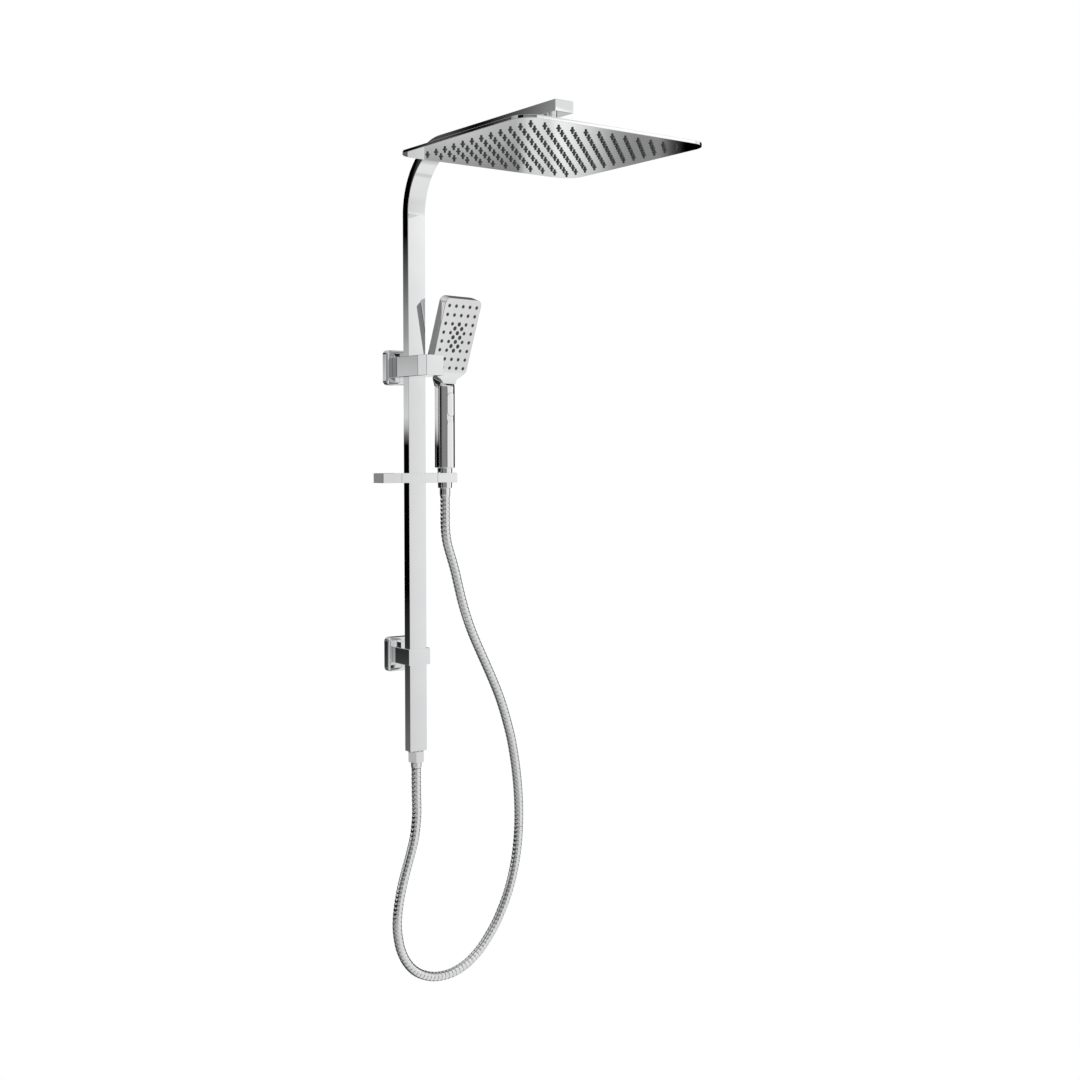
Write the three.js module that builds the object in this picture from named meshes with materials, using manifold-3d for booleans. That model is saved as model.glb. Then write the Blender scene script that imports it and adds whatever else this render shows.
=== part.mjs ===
// Rainfall shower column: a rectangular rail on two wall brackets, with an overhead arm and
// square rain head, a square diverter, a sliding bar with a tilting cradle, a hand shower and
// its hose. Millimetres, +X right along the wall, +Y into the wall, +Z up. The wall is the
// plane y = 0 and the origin is the centre of the lower wall plate's back face.
import * as THREE from 'three';
import { mergeVertices } from 'three/addons/utils/BufferGeometryUtils.js';
import Module from 'manifold-3d';

const wasm = await Module();
wasm.setup();

// ---------- driving dimensions ----------
const GAP = 0.3;                 // clearance between neighbouring pieces
const ROUND_SEGMENTS = 20;       // facets round a turned piece

const RAIL_WIDTH = 30;           // rectangular tube, across the wall
const RAIL_DEPTH = 15.5;         // rectangular tube, out from the wall
const RAIL_WALL = 1.5;
const RAIL_Y = -49.25;           // centre line of the rail
const RAIL_BOTTOM_Z = -146;
const UPPER_Z = 442;             // height of the inlet bracket over the lower one
const ARM_TOP_Z = 772;
const ARM_END_Y = -424;
const BEND_RADIUS = 95.25;       // centre line of the bend
const BEND_STEPS = 12;

const FLANGE_SIZE = 53;          // square wall flanges
const FLANGE_DEPTH = 12;
const FLANGE_CORNER = 6;
const FLANGE_WALL = 2;

const DIVERTER_WIDTH = 33;
const DIVERTER_HEIGHT = 31.5;
const DIVERTER_FRONT_Y = -84.5;
const SOCKET_FLOOR = 8.8;        // tube sockets stop this far from the diverter's centre
const CARTRIDGE_RADIUS = 8.5;    // bore for the cartridge, reaching in from the front
const CARTRIDGE_END = 32;        // depths below are measured out from the wall
const NUT_SEAT = 72;
const NUT_SEAT_RADIUS = 10.6;
const INLET_END = 28;
const WATERWAY_RADIUS = 5;
const SPINDLE_RADIUS = 4;
const SPINDLE_FOOT = 62.4;
const SPINDLE_TIP = 101.4;
const GASKET_THICK = 0.7;
const INLET_DIAMETER = 20.6;
const KNOB_SIZE = 31.5;
const KNOB_FRONT_Y = -108;

const COLLAR_WIDTH = 38;
const COLLAR_HEIGHT = 25;
const COLLAR_FRONT_Y = -61;
const SPIGOT_DIAMETER = 14;
const SPIGOT_LENGTH = 29;
const GRUB_Y = -22;              // grub screw under the lower bracket
const GRUB_RADIUS = 2.5;

const SLIDER_Z = 273.4;
const SLIDER_HEIGHT = 14.7;
const SLIDER_DEPTH = 29;
const SLIDER_BACK_Y = -35;
const SLIDER_HALF = 32;          // the slider body ends this far either side of the rail
const GRIP_END_X = -64.4;
const CRADLE_END_X = 68;
const PIVOT_Y = RAIL_Y;
const PIVOT_DIAMETER = 8;

const HANDSET_X = 54.5;          // axis of the handle and of the cradle's cone
const HANDSET_TURN = 8.5;        // degrees the hand shower is turned towards the right
const HANDLE_RADIUS = 15.5;
const HANDLE_BOTTOM_Z = 288.6;
const HANDLE_BORE = 10;          // radius
const HANDLE_BORE_TOP = 115.5;
const FACE_TILT = 19.3;          // degrees the spray face leans forward
const LIP_HEIGHT = 131.5;        // foot of the spray face over the handle's bottom
const LIP_REACH = 3.9;           // the face's plane passes this far in front of the axis there
const FACE_LENGTH = 131;
const FACE_HALF = 36.3;
const FACE_CORNER = 9;
const NECK_LENGTH = 22;          // the face is flat above this, and swells forward below it
const NECK_SWELL = 8.1;
const FACE_PLATE = 4.5;          // thickness of the spray plate
const HEAD_THICKNESS = 17;
const BUTTON_Z = 97;             // centre of the push button over the handle's bottom
const BUTTON_WIDTH = 13;
const BUTTON_HEIGHT = 36;
const BUTTON_CORNER = 6;
const BUTTON_BACK = 12.2;        // its flat back, in front of the handle's axis

const NUT_HEIGHT = 31;           // conical hose nut
const NUT_TOP = 11.4;            // its radii
const NUT_FOOT = 10.8;
const SPOUT_DIAMETER = 18.8;     // threaded outlets under the hose nuts
const FERRULE_DIAMETER = 16.4;
const HOSE_DIAMETER = 13.5;
const SWAGE_RADIUS = 6.3;        // bore of the ferrules
const INSERT_RADIUS = 6;         // barbed inserts inside the hose's ends
const INSERT_HEAD = 8.4;
const INSERT_BORE = 3.5;
const WASHER_RADIUS = 8.6;

const HEAD_SIZE = 300;
const HEAD_CORNER = 28;
const HEAD_Y = -393;
const HEAD_BOTTOM_Z = 711;
const BALL_Z = 732;
const BALL_RADIUS = 9.5;

// ---------- materials ----------
const chrome = new THREE.MeshStandardMaterial({ color: 0xd9dbdd, roughness: 0.06, metalness: 1 });
const brass = new THREE.MeshStandardMaterial({ color: 0xb9a05a, roughness: 0.35, metalness: 1 });
const steel = new THREE.MeshStandardMaterial({ color: 0xb4b6b8, roughness: 0.3, metalness: 1 });
const nylon = new THREE.MeshStandardMaterial({ color: 0xe9e7e0, roughness: 0.6, metalness: 0 });
const rubber = new THREE.MeshStandardMaterial({ color: 0x25272a, roughness: 0.8, metalness: 0 });
const silicone = new THREE.MeshStandardMaterial({ color: 0x6d7073, roughness: 0.6, metalness: 0 });

// ---------- shapes ----------
function roundedRect(width, height, radius) {
  const shape = new THREE.Shape();
  const x = width / 2 - radius;
  const y = height / 2 - radius;
  shape.absarc(x, y, radius, 0, Math.PI / 2);
  shape.absarc(-x, y, radius, Math.PI / 2, Math.PI);
  shape.absarc(-x, -y, radius, Math.PI, 1.5 * Math.PI);
  shape.absarc(x, -y, radius, 1.5 * Math.PI, 2 * Math.PI);
  shape.closePath();
  return shape;
}

function polygon(sides, radius, turn = 0) {
  const points = [];
  for (let i = 0; i < sides; i += 1) {
    const angle = turn + (2 * Math.PI * i) / sides;
    points.push(new THREE.Vector2(radius * Math.cos(angle), radius * Math.sin(angle)));
  }
  return new THREE.Shape(points);
}

// A shape pushed along +Z from z0 to z1, with its edges eased by bevel when it is given.
function prism(shape, z0, z1, bevel = 0, curveSegments = 3) {
  const geometry = new THREE.ExtrudeGeometry(shape, {
    depth: z1 - z0 - 2 * bevel,
    bevelEnabled: bevel > 0,
    bevelThickness: bevel,
    bevelSize: bevel,
    bevelOffset: -bevel,
    bevelSegments: 1,
    curveSegments,
  });
  return geometry.translate(0, 0, z0 + bevel);
}

const X_AXIS = new THREE.Vector3(1, 0, 0);
const Y_AXIS = new THREE.Vector3(0, 1, 0);
const Z_AXIS = new THREE.Vector3(0, 0, 1);

// Turns a piece made along +Z so that it points out of the wall: its base is at y = 0.
function outOfWall(geometry) {
  const turn = new THREE.Matrix4().makeBasis(X_AXIS, Z_AXIS, Y_AXIS.clone().negate());
  return geometry.applyMatrix4(turn);
}

// Turns a piece made along +Z so that it points along +X.
function alongX(geometry) {
  return geometry.applyMatrix4(new THREE.Matrix4().makeBasis(Y_AXIS, Z_AXIS, X_AXIS));
}

// A turned piece about Z, from a list of [radius, height] that closes on itself or on the axis.
function turned(profile, segments = ROUND_SEGMENTS) {
  const points = profile.map(([radius, height]) => new THREE.Vector2(radius, height));
  const onAxis = profile[0][0] === 0 && profile[profile.length - 1][0] === 0;
  if (!onAxis) points.push(points[0].clone());
  const geometry = new THREE.LatheGeometry(points, segments);
  return geometry.rotateX(Math.PI / 2);
}

function rod(radius, z0, z1, segments = ROUND_SEGMENTS) {
  return prism(polygon(segments, radius, Math.PI / segments), z0, z1);
}

function ring(outer, inner, z0, z1, segments = ROUND_SEGMENTS) {
  return cut(rod(outer, z0, z1, segments), rod(inner, z0 - 1, z1 + 1, segments));
}

// ---------- cuts and joins ----------
function toManifold(geometry) {
  const bare = geometry.clone();
  bare.deleteAttribute('normal');
  bare.deleteAttribute('uv');
  const merged = mergeVertices(bare, 1e-4);
  const mesh = new wasm.Mesh({
    numProp: 3,
    vertProperties: Float32Array.from(merged.attributes.position.array),
    triVerts: Uint32Array.from(merged.index.array),
  });
  return new wasm.Manifold(mesh);
}

function toGeometry(manifold) {
  const mesh = manifold.getMesh();
  const geometry = new THREE.BufferGeometry();
  geometry.setAttribute('position', new THREE.BufferAttribute(mesh.vertProperties, 3));
  geometry.setIndex(new THREE.BufferAttribute(mesh.triVerts, 1));
  geometry.computeVertexNormals();
  return geometry;
}

function cut(geometry, ...tools) {
  const start = toManifold(geometry);
  return toGeometry(tools.reduce((whole, tool) => whole.subtract(toManifold(tool)), start));
}

function join(geometry, ...others) {
  const start = toManifold(geometry);
  return toGeometry(others.reduce((whole, other) => whole.add(toManifold(other)), start));
}

// ---------- scene graph ----------
const column = new THREE.Group();

function add(parent, name, geometry, material, place = [0, 0, 0]) {
  const mesh = new THREE.Mesh(geometry, material);
  mesh.name = name;
  mesh.position.set(...place);
  parent.add(mesh);
  return mesh;
}

function group(parent, place = [0, 0, 0], turnZ = 0) {
  const made = new THREE.Group();
  made.position.set(...place);
  made.rotation.z = THREE.MathUtils.degToRad(turnZ);
  parent.add(made);
  return made;
}

// ---------- wall fixings, the same behind both brackets ----------
const PLATE_SIZE = 46;
const PLATE_THICK = 3;
const SCREW_X = 17;
const SCREW_SHANK = 2.4;
const SCREW_HEAD = 4;

function wallFlange(hole) {
  const outer = prism(roundedRect(FLANGE_SIZE, FLANGE_SIZE, FLANGE_CORNER), 0, FLANGE_DEPTH, 1.4);
  const square = prism(roundedRect(FLANGE_SIZE, FLANGE_SIZE, FLANGE_CORNER), 0, FLANGE_DEPTH / 2);
  const inside = FLANGE_SIZE - 2 * FLANGE_WALL;
  const hollow = prism(roundedRect(inside, inside, FLANGE_CORNER - FLANGE_WALL), -1,
    FLANGE_DEPTH - FLANGE_WALL);
  return outOfWall(cut(join(outer, square), hollow, rod(hole, 0, FLANGE_DEPTH + 1)));
}

function fixingPlate(centre) {
  const holes = [-SCREW_X, SCREW_X].map((x) => rod(SCREW_SHANK + GAP, -1, 5, 12).translate(x, 0, 0));
  const plate = prism(roundedRect(PLATE_SIZE, PLATE_SIZE, 3), 0, PLATE_THICK);
  return outOfWall(centre(cut(plate, ...holes)));
}

function wallScrew() {
  return outOfWall(turned([
    [0, 0.4], [SCREW_SHANK, 0.4], [SCREW_SHANK, PLATE_THICK + GAP],
    [SCREW_HEAD, PLATE_THICK + GAP], [SCREW_HEAD - 0.8, PLATE_THICK + 2.6], [0, PLATE_THICK + 2.6],
  ], 12));
}

function addWallFixing(name, z, hole, centre) {
  add(column, `${name}_wall_flange`, wallFlange(hole), chrome, [0, 0, z]);
  add(column, `${name}_fixing_plate`, fixingPlate(centre), steel, [0, 0, z]);
  add(column, `${name}_wall_screw_left`, wallScrew(), steel, [-SCREW_X, 0, z]);
  add(column, `${name}_wall_screw_right`, wallScrew(), steel, [SCREW_X, 0, z]);
}

// ---------- inlet bracket and diverter ----------
const tubeSection = (slack) => roundedRect(RAIL_WIDTH + slack, RAIL_DEPTH + slack, 1.4);

function tubeSocket(z0, z1) {
  return prism(tubeSection(2 * GAP), z0, z1).translate(0, RAIL_Y, 0);
}

function diverterBody() {
  const back = -FLANGE_DEPTH - GAP;
  const length = back - DIVERTER_FRONT_Y;
  const block = outOfWall(prism(roundedRect(DIVERTER_WIDTH, DIVERTER_HEIGHT, 1), 0, length, 0.8));
  const half = DIVERTER_HEIGHT / 2;
  return cut(block.translate(0, back, 0),
    outOfWall(rod(CARTRIDGE_RADIUS, CARTRIDGE_END, 90)),
    outOfWall(rod(NUT_SEAT_RADIUS, NUT_SEAT, 90)),
    outOfWall(rod(INLET_DIAMETER / 2 + GAP, 5, INLET_END)),
    outOfWall(rod(WATERWAY_RADIUS, INLET_END - 2, CARTRIDGE_END + 2, 16)),
    tubeSocket(SOCKET_FLOOR, half + 1),
    tubeSocket(-half - 1, -SOCKET_FLOOR),
    rod(WATERWAY_RADIUS, -12, 12, 16).translate(0, RAIL_Y, 0));
}

function tubeGasket() {
  const inner = prism(roundedRect(RAIL_WIDTH - 4, RAIL_DEPTH - 4, 1), -1, 2);
  return cut(prism(tubeSection(0), 0, GASKET_THICK), inner).translate(0, RAIL_Y, 0);
}

function diverterKnob() {
  const depth = DIVERTER_FRONT_Y - GAP - KNOB_FRONT_Y;
  const cap = prism(roundedRect(KNOB_SIZE, KNOB_SIZE, 1), 0, depth, 0.6);
  const pocket = prism(roundedRect(KNOB_SIZE - 5, KNOB_SIZE - 5, 1), -1, depth - 3.5);
  const boss = cut(rod(7.5, 1, depth - 3), rod(SPINDLE_RADIUS + GAP, 0, depth - 6));
  return outOfWall(join(cut(cap, pocket), boss)).translate(0, DIVERTER_FRONT_Y - GAP, 0);
}

addWallFixing('upper', UPPER_Z, INLET_DIAMETER / 2 + 0.6,
  (plate) => cut(plate, rod(INLET_DIAMETER / 2 + GAP, -1, 9)));
const inlet = group(column, [0, 0, UPPER_Z]);
add(inlet, 'inlet_nipple', outOfWall(ring(INLET_DIAMETER / 2, 6, 0.4, 27)), brass);
add(inlet, 'diverter_body', diverterBody(), chrome);
add(inlet, 'diverter_cartridge', outOfWall(turned([
  [3, CARTRIDGE_END + 2.5], [CARTRIDGE_RADIUS - GAP, CARTRIDGE_END + 2.5],
  [CARTRIDGE_RADIUS - GAP, NUT_SEAT - 0.4], [SPINDLE_RADIUS + 0.4, NUT_SEAT - 0.4],
  [SPINDLE_RADIUS + 0.4, SPINDLE_FOOT - 0.4], [3, SPINDLE_FOOT - 0.4],
])), brass);
add(inlet, 'cartridge_nut', outOfWall(ring(NUT_SEAT_RADIUS - GAP, SPINDLE_RADIUS + 0.6,
  NUT_SEAT + GAP, NUT_SEAT + 8)), brass);
add(inlet, 'riser_gasket', tubeGasket(), rubber, [0, 0, SOCKET_FLOOR + 0.15]);
add(inlet, 'rail_gasket', tubeGasket(), rubber, [0, 0, -SOCKET_FLOOR - GASKET_THICK - 0.15]);
add(inlet, 'diverter_spindle', outOfWall(rod(SPINDLE_RADIUS, SPINDLE_FOOT, SPINDLE_TIP, 16)),
  brass);
add(inlet, 'diverter_knob', diverterKnob(), chrome);

// ---------- rail, bend and arm ----------
const ARM_Z = ARM_TOP_Z - RAIL_DEPTH / 2;
const RISER_FOOT_Z = UPPER_Z + SOCKET_FLOOR + 1;
const CAP_THICK = 2.5;

// The tube's centre line: straight up, a quarter circle out of the wall, then level. Its
// stations are the two straight ends and BEND_STEPS steps round the quarter circle.
class RiserPath extends THREE.Curve {
  getPointAt(u) {
    const station = Math.round(u * (BEND_STEPS + 2));
    if (station === 0) return new THREE.Vector3(0, RAIL_Y, RISER_FOOT_Z);
    if (station === BEND_STEPS + 2) return new THREE.Vector3(0, ARM_END_Y + CAP_THICK + GAP, ARM_Z);
    const angle = ((station - 1) / BEND_STEPS) * (Math.PI / 2);
    const out = BEND_RADIUS * (1 - Math.cos(angle));
    return new THREE.Vector3(0, RAIL_Y - out, ARM_Z - BEND_RADIUS + BEND_RADIUS * Math.sin(angle));
  }

  getTangentAt(u) {
    const station = u * (BEND_STEPS + 2) - 1;
    const angle = THREE.MathUtils.clamp(station / BEND_STEPS, 0, 1) * (Math.PI / 2);
    return new THREE.Vector3(0, -Math.sin(angle), Math.cos(angle));
  }
}

function riserTube() {
  const section = roundedRect(RAIL_DEPTH, RAIL_WIDTH, 1.2);
  section.holes.push(roundedRect(RAIL_DEPTH - 2 * RAIL_WALL, RAIL_WIDTH - 2 * RAIL_WALL, 0.6));
  const tube = new THREE.ExtrudeGeometry(section, {
    steps: BEND_STEPS + 2, extrudePath: new RiserPath(), curveSegments: 2,
  });
  const outlet = rod(9.2 + GAP, ARM_Z - RAIL_DEPTH, ARM_Z).translate(0, HEAD_Y, 0);
  return cut(tube, outlet);
}

function railTube() {
  const inner = roundedRect(RAIL_WIDTH - 2 * RAIL_WALL, RAIL_DEPTH - 2 * RAIL_WALL, 0.6);
  const top = UPPER_Z - SOCKET_FLOOR - 1;
  const outer = prism(roundedRect(RAIL_WIDTH, RAIL_DEPTH, 1.2), RAIL_BOTTOM_Z, top, 0, 3);
  return cut(outer, prism(inner, RAIL_BOTTOM_Z - 1, top + 1, 0, 2)).translate(0, RAIL_Y, 0);
}

function armCap() {
  const face = prism(roundedRect(RAIL_WIDTH, RAIL_DEPTH, 1.2), -CAP_THICK, 0, 0.5, 3);
  const tongue = prism(roundedRect(RAIL_WIDTH - 2 * RAIL_WALL - 2 * GAP,
    RAIL_DEPTH - 2 * RAIL_WALL - 2 * GAP, 0.6), -10, -CAP_THICK / 2);
  return outOfWall(join(face, tongue)).translate(0, ARM_END_Y, ARM_Z);
}

add(column, 'riser_and_arm_tube', riserTube(), chrome);
add(column, 'arm_end_cap', armCap(), chrome);
add(column, 'rail_tube', railTube(), chrome);

// ---------- lower bracket ----------
function collarArm() {
  const back = -FLANGE_DEPTH - GAP;
  const block = prism(roundedRect(COLLAR_WIDTH, COLLAR_HEIGHT, 1), 0, back - COLLAR_FRONT_Y, 0.6);
  return cut(outOfWall(block).translate(0, back, 0),
    tubeSocket(-COLLAR_HEIGHT, COLLAR_HEIGHT),
    outOfWall(rod(SPIGOT_DIAMETER / 2 + GAP, 5, SPIGOT_LENGTH + 1)),
    rod(GRUB_RADIUS + GAP, -COLLAR_HEIGHT, 0, 12).translate(0, GRUB_Y, 0));
}

addWallFixing('lower', 0, SPIGOT_DIAMETER / 2 + 0.6,
  (plate) => join(plate, rod(SPIGOT_DIAMETER / 2, 1, SPIGOT_LENGTH)));
add(column, 'lower_bracket_arm', collarArm(), chrome);
add(column, 'bracket_grub_screw',
  rod(GRUB_RADIUS, -COLLAR_HEIGHT / 2 + 1, -SPIGOT_DIAMETER / 2 - GAP, 12), steel, [0, GRUB_Y, 0]);

// ---------- rail outlet and the hose's lower end ----------
const OUTLET_NUT_BOTTOM = RAIL_BOTTOM_Z - 17.6;
const LOWER_FERRULE_BOTTOM = OUTLET_NUT_BOTTOM - 9;

function railOutlet() {
  const plug = prism(roundedRect(RAIL_WIDTH - 2 * RAIL_WALL - 2 * GAP,
    RAIL_DEPTH - 2 * RAIL_WALL - 2 * GAP, 0.6), RAIL_BOTTOM_Z - 2 * GAP, RAIL_BOTTOM_Z + 14);
  const spout = rod(SPOUT_DIAMETER / 2, RAIL_BOTTOM_Z - 9, RAIL_BOTTOM_Z - GAP);
  return cut(join(plug, spout), rod(4.5, RAIL_BOTTOM_Z - 20, RAIL_BOTTOM_Z + 20));
}

function hexNut() {
  const bottom = OUTLET_NUT_BOTTOM;
  const top = RAIL_BOTTOM_Z - 3 * GAP;
  const hexagon = toManifold(prism(polygon(6, 13.4), bottom, top));
  const chamfer = toManifold(turned([
    [0, bottom], [11.8, bottom], [14, bottom + 1.3], [14, top - 1.3], [11.8, top], [0, top],
  ]));
  return cut(toGeometry(hexagon.intersect(chamfer)),
    rod(SPOUT_DIAMETER / 2 + GAP, bottom + 4, top + 1),
    rod(6.4, bottom - 1, bottom + 5));
}

const hoseEnd = group(column, [0, RAIL_Y, 0]);
add(hoseEnd, 'rail_outlet', railOutlet(), brass);
add(hoseEnd, 'outlet_washer', ring(WASHER_RADIUS, 4.6, RAIL_BOTTOM_Z - 11.2, RAIL_BOTTOM_Z - 9.3),
  rubber);
add(hoseEnd, 'hose_hex_nut', hexNut(), chrome);
add(hoseEnd, 'hose_lower_insert', cut(
  join(rod(INSERT_RADIUS, LOWER_FERRULE_BOTTOM + 1, RAIL_BOTTOM_Z - 12),
    rod(INSERT_HEAD, RAIL_BOTTOM_Z - 13.2, RAIL_BOTTOM_Z - 11.5)),
  rod(INSERT_BORE, LOWER_FERRULE_BOTTOM, RAIL_BOTTOM_Z)), brass);
add(hoseEnd, 'hose_lower_ferrule',
  ring(FERRULE_DIAMETER / 2, SWAGE_RADIUS, LOWER_FERRULE_BOTTOM, OUTLET_NUT_BOTTOM - GAP), chrome);

// ---------- slider ----------
const sliderSection = () => roundedRect(SLIDER_DEPTH, SLIDER_HEIGHT, 0.8);
const SLIDER_Y = SLIDER_BACK_Y - SLIDER_DEPTH / 2;
const PAD_FACE_X = -RAIL_WIDTH / 2 - 0.35;

function bar(x0, x1) {
  return alongX(prism(sliderSection(), x0, x1, 0.5)).translate(0, SLIDER_Y, 0);
}

function pin(radius, x0, x1, segments = 16) {
  return alongX(rod(radius, x0, x1, segments)).translate(0, PIVOT_Y, 0);
}

function sliderBody() {
  const hole = prism(roundedRect(RAIL_WIDTH + 2 * GAP, RAIL_DEPTH + 2 * GAP, 1.4), -20, 20);
  return cut(bar(-SLIDER_HALF, SLIDER_HALF), hole.translate(0, RAIL_Y, 0),
    pin(PIVOT_DIAMETER / 2 + GAP, -SLIDER_HALF - 5, -RAIL_WIDTH / 2),
    pin(PIVOT_DIAMETER / 2 + GAP, SLIDER_HALF - 10, SLIDER_HALF + 5));
}

function lockGrip() {
  return cut(bar(GRIP_END_X, -SLIDER_HALF - GAP),
    pin(PIVOT_DIAMETER / 2 + GAP, GRIP_END_X + 12, -SLIDER_HALF + 1));
}

function cradle() {
  const taper = turned([
    [0, -30], [NUT_FOOT - 0.1, -30], [NUT_TOP + 0.7, 30], [0, 30],
  ]).translate(HANDSET_X, RAIL_Y, 0);
  const slot = alongX(prism(roundedRect(HOSE_DIAMETER + 1.6, 40, 1), HANDSET_X, CRADLE_END_X + 5));
  return cut(bar(SLIDER_HALF + GAP, CRADLE_END_X), taper, slot.translate(0, RAIL_Y, 0),
    pin(PIVOT_DIAMETER / 2 + GAP, SLIDER_HALF - 1, SLIDER_HALF + 8));
}

const slider = group(column, [0, 0, SLIDER_Z]);
add(slider, 'slider_body', sliderBody(), chrome);
add(slider, 'brake_pad', pin(3.8, PAD_FACE_X - 2.4, PAD_FACE_X), nylon);
add(slider, 'lock_grip', lockGrip(), chrome);
add(slider, 'clamp_spindle', pin(PIVOT_DIAMETER / 2, GRIP_END_X + 12.4, PAD_FACE_X - 2.8), brass);
add(slider, 'cradle', cradle(), chrome);
add(slider, 'cradle_pivot_pin',
  pin(PIVOT_DIAMETER / 2, SLIDER_HALF - 9.6, SLIDER_HALF + 7.6), brass);

// ---------- hand shower: its own frame has the handle's foot at the origin ----------
const tilt = THREE.MathUtils.degToRad(FACE_TILT);

// Stands a piece made along +Z up in the plane of the spray face. z is the distance in front of
// the face; behind it z is negative.
function onFace(geometry) {
  outOfWall(geometry);
  geometry.rotateX(tilt);
  return geometry.translate(0, -LIP_REACH, LIP_HEIGHT);
}

// Half the head's width at a height up the face: neck, S-shaped shoulders, straight sides and
// round top corners.
const SHOULDER = [[0, 11.5], [2, 12.2], [6, 16.7], [10, 25.5], [14.5, 33], [18, 35.6], [22, FACE_HALF]];

function halfWidth(up) {
  const corner = up - (FACE_LENGTH - FACE_CORNER);
  if (corner > 0) {
    return FACE_HALF - FACE_CORNER + Math.sqrt(Math.max(FACE_CORNER ** 2 - corner ** 2, 0));
  }
  if (up >= NECK_LENGTH) return FACE_HALF;
  const next = SHOULDER.findIndex(([height]) => height > up);
  const [h0, w0] = SHOULDER[next - 1];
  const [h1, w1] = SHOULDER[next];
  return w0 + ((w1 - w0) * (up - h0)) / (h1 - h0);
}

const swell = (up) => NECK_SWELL * (1 - Math.min(up / NECK_LENGTH, 1)) ** 2;
const FACE_HEIGHTS = [0, 2, 6, 10, 14.5, 18, 22, 122, 126, 129, 131];

// One slice of the head, square to the face: half its width, and where it starts and ends.
function slice(up, half, back, front, corner, lean = tilt) {
  const outline = roundedRect(2 * half, front - back, corner);
  const middle = (front + back) / 2;
  return outline.getPoints(3).slice(0, -1).map((point) => {
    const out = point.y + middle;
    return new THREE.Vector3(point.x, -up * Math.sin(lean) - out * Math.cos(lean),
      up * Math.cos(lean) - out * Math.sin(lean));
  });
}

function lipSlice(up, back, front, corner) {
  const points = slice(up, halfWidth(up), back, front, corner);
  return points.map((point) => point.add(new THREE.Vector3(0, -LIP_REACH, LIP_HEIGHT)));
}

// A closed solid through slices that have the same number of points.
function loft(slices) {
  const count = slices[0].length;
  const corners = [];
  const quad = (a, b, c, d) => corners.push(a, b, c, a, c, d);
  for (let row = 0; row < slices.length - 1; row += 1) {
    for (let i = 0; i < count; i += 1) {
      const j = (i + 1) % count;
      quad(slices[row][i], slices[row + 1][i], slices[row + 1][j], slices[row][j]);
    }
  }
  const last = slices[slices.length - 1];
  for (let i = 1; i < count - 1; i += 1) {
    corners.push(slices[0][0], slices[0][i], slices[0][i + 1]);
    corners.push(last[0], last[i + 1], last[i]);
  }
  return new THREE.BufferGeometry().setFromPoints(corners);
}

// How far the slab reaches behind the face: it thickens into the handle below the shoulders.
const slabBack = (up) => -HEAD_THICKNESS - 3 * (1 - Math.min(up / NECK_LENGTH, 1));

function handsetBody() {
  const round = (height) => slice(height, HANDLE_RADIUS, -HANDLE_RADIUS, HANDLE_RADIUS,
    HANDLE_RADIUS, 0);
  const head = FACE_HEIGHTS.map((up) => lipSlice(up, slabBack(up), swell(up) - FACE_PLATE - GAP, 3));
  const shell = loft([round(0), round(LIP_HEIGHT - 7), ...head]);
  const spout = rod(SPOUT_DIAMETER / 2, -12, 1);
  const chamber = onFace(prism(roundedRect(2 * FACE_HALF - 6, 98, 6), -HEAD_THICKNESS + 3, 0)
    .translate(0, 76, 0));
  const waterway = rod(5, -13, 20, 16);
  const bore = rod(HANDLE_BORE, 12, HANDLE_BORE_TOP, 20);
  const passage = rod(3.5, HANDLE_BORE_TOP - 2, LIP_HEIGHT + 30, 16).translate(0, -3, 0);
  const well = prism(roundedRect(BUTTON_WIDTH + 2 * GAP, BUTTON_HEIGHT + 2 * GAP, BUTTON_CORNER + GAP),
    8, 20);
  return cut(join(shell, spout), chamber, waterway, bore, passage,
    outOfWall(well).translate(0, 0, BUTTON_Z));
}

function sprayPlate() {
  return loft(FACE_HEIGHTS.map((up) => lipSlice(up, swell(up) - FACE_PLATE, swell(up), 1)));
}

function pushButton() {
  const cap = outOfWall(prism(roundedRect(BUTTON_WIDTH, BUTTON_HEIGHT, BUTTON_CORNER),
    BUTTON_BACK, 20));
  const curve = toManifold(rod(HANDLE_RADIUS + 0.4, 0, LIP_HEIGHT, 32));
  return toGeometry(toManifold(cap.translate(0, 0, BUTTON_Z)).intersect(curve));
}

const handset = group(column, [HANDSET_X, RAIL_Y, HANDLE_BOTTOM_Z], HANDSET_TURN);
add(handset, 'handset_body', handsetBody(), chrome);
add(handset, 'spray_plate', sprayPlate(), chrome);
add(handset, 'spray_nozzle_mat', onFace(prism(roundedRect(2 * FACE_HALF - 8, 96, 5),
  -FACE_PLATE - 1.9, -FACE_PLATE - GAP).translate(0, 76, 0)), silicone);
add(handset, 'flow_tube', ring(6.4, 4.6, 13, BUTTON_Z - 24, 16), nylon);
add(handset, 'selector_valve', cut(
  rod(8.6, BUTTON_Z - 22, HANDLE_BORE_TOP - 1, 16),
  outOfWall(prism(roundedRect(18, BUTTON_HEIGHT + 5, BUTTON_CORNER), 5.2, 20)).translate(0, 0, BUTTON_Z),
  rod(2.6, 0, 200, 12)), nylon);
add(handset, 'button_spring_cup', outOfWall(rod(4, 7.6, 11.8, 16)), steel, [0, 0, BUTTON_Z]);
add(handset, 'push_button', pushButton(), chrome);

// ---------- hose nut, ferrule and hose ----------
const NUT_Z = HANDLE_BOTTOM_Z - GAP;
const UPPER_FERRULE_TOP = NUT_Z - NUT_HEIGHT - GAP;
const UPPER_FERRULE_BOTTOM = UPPER_FERRULE_TOP - 12.5;

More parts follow.
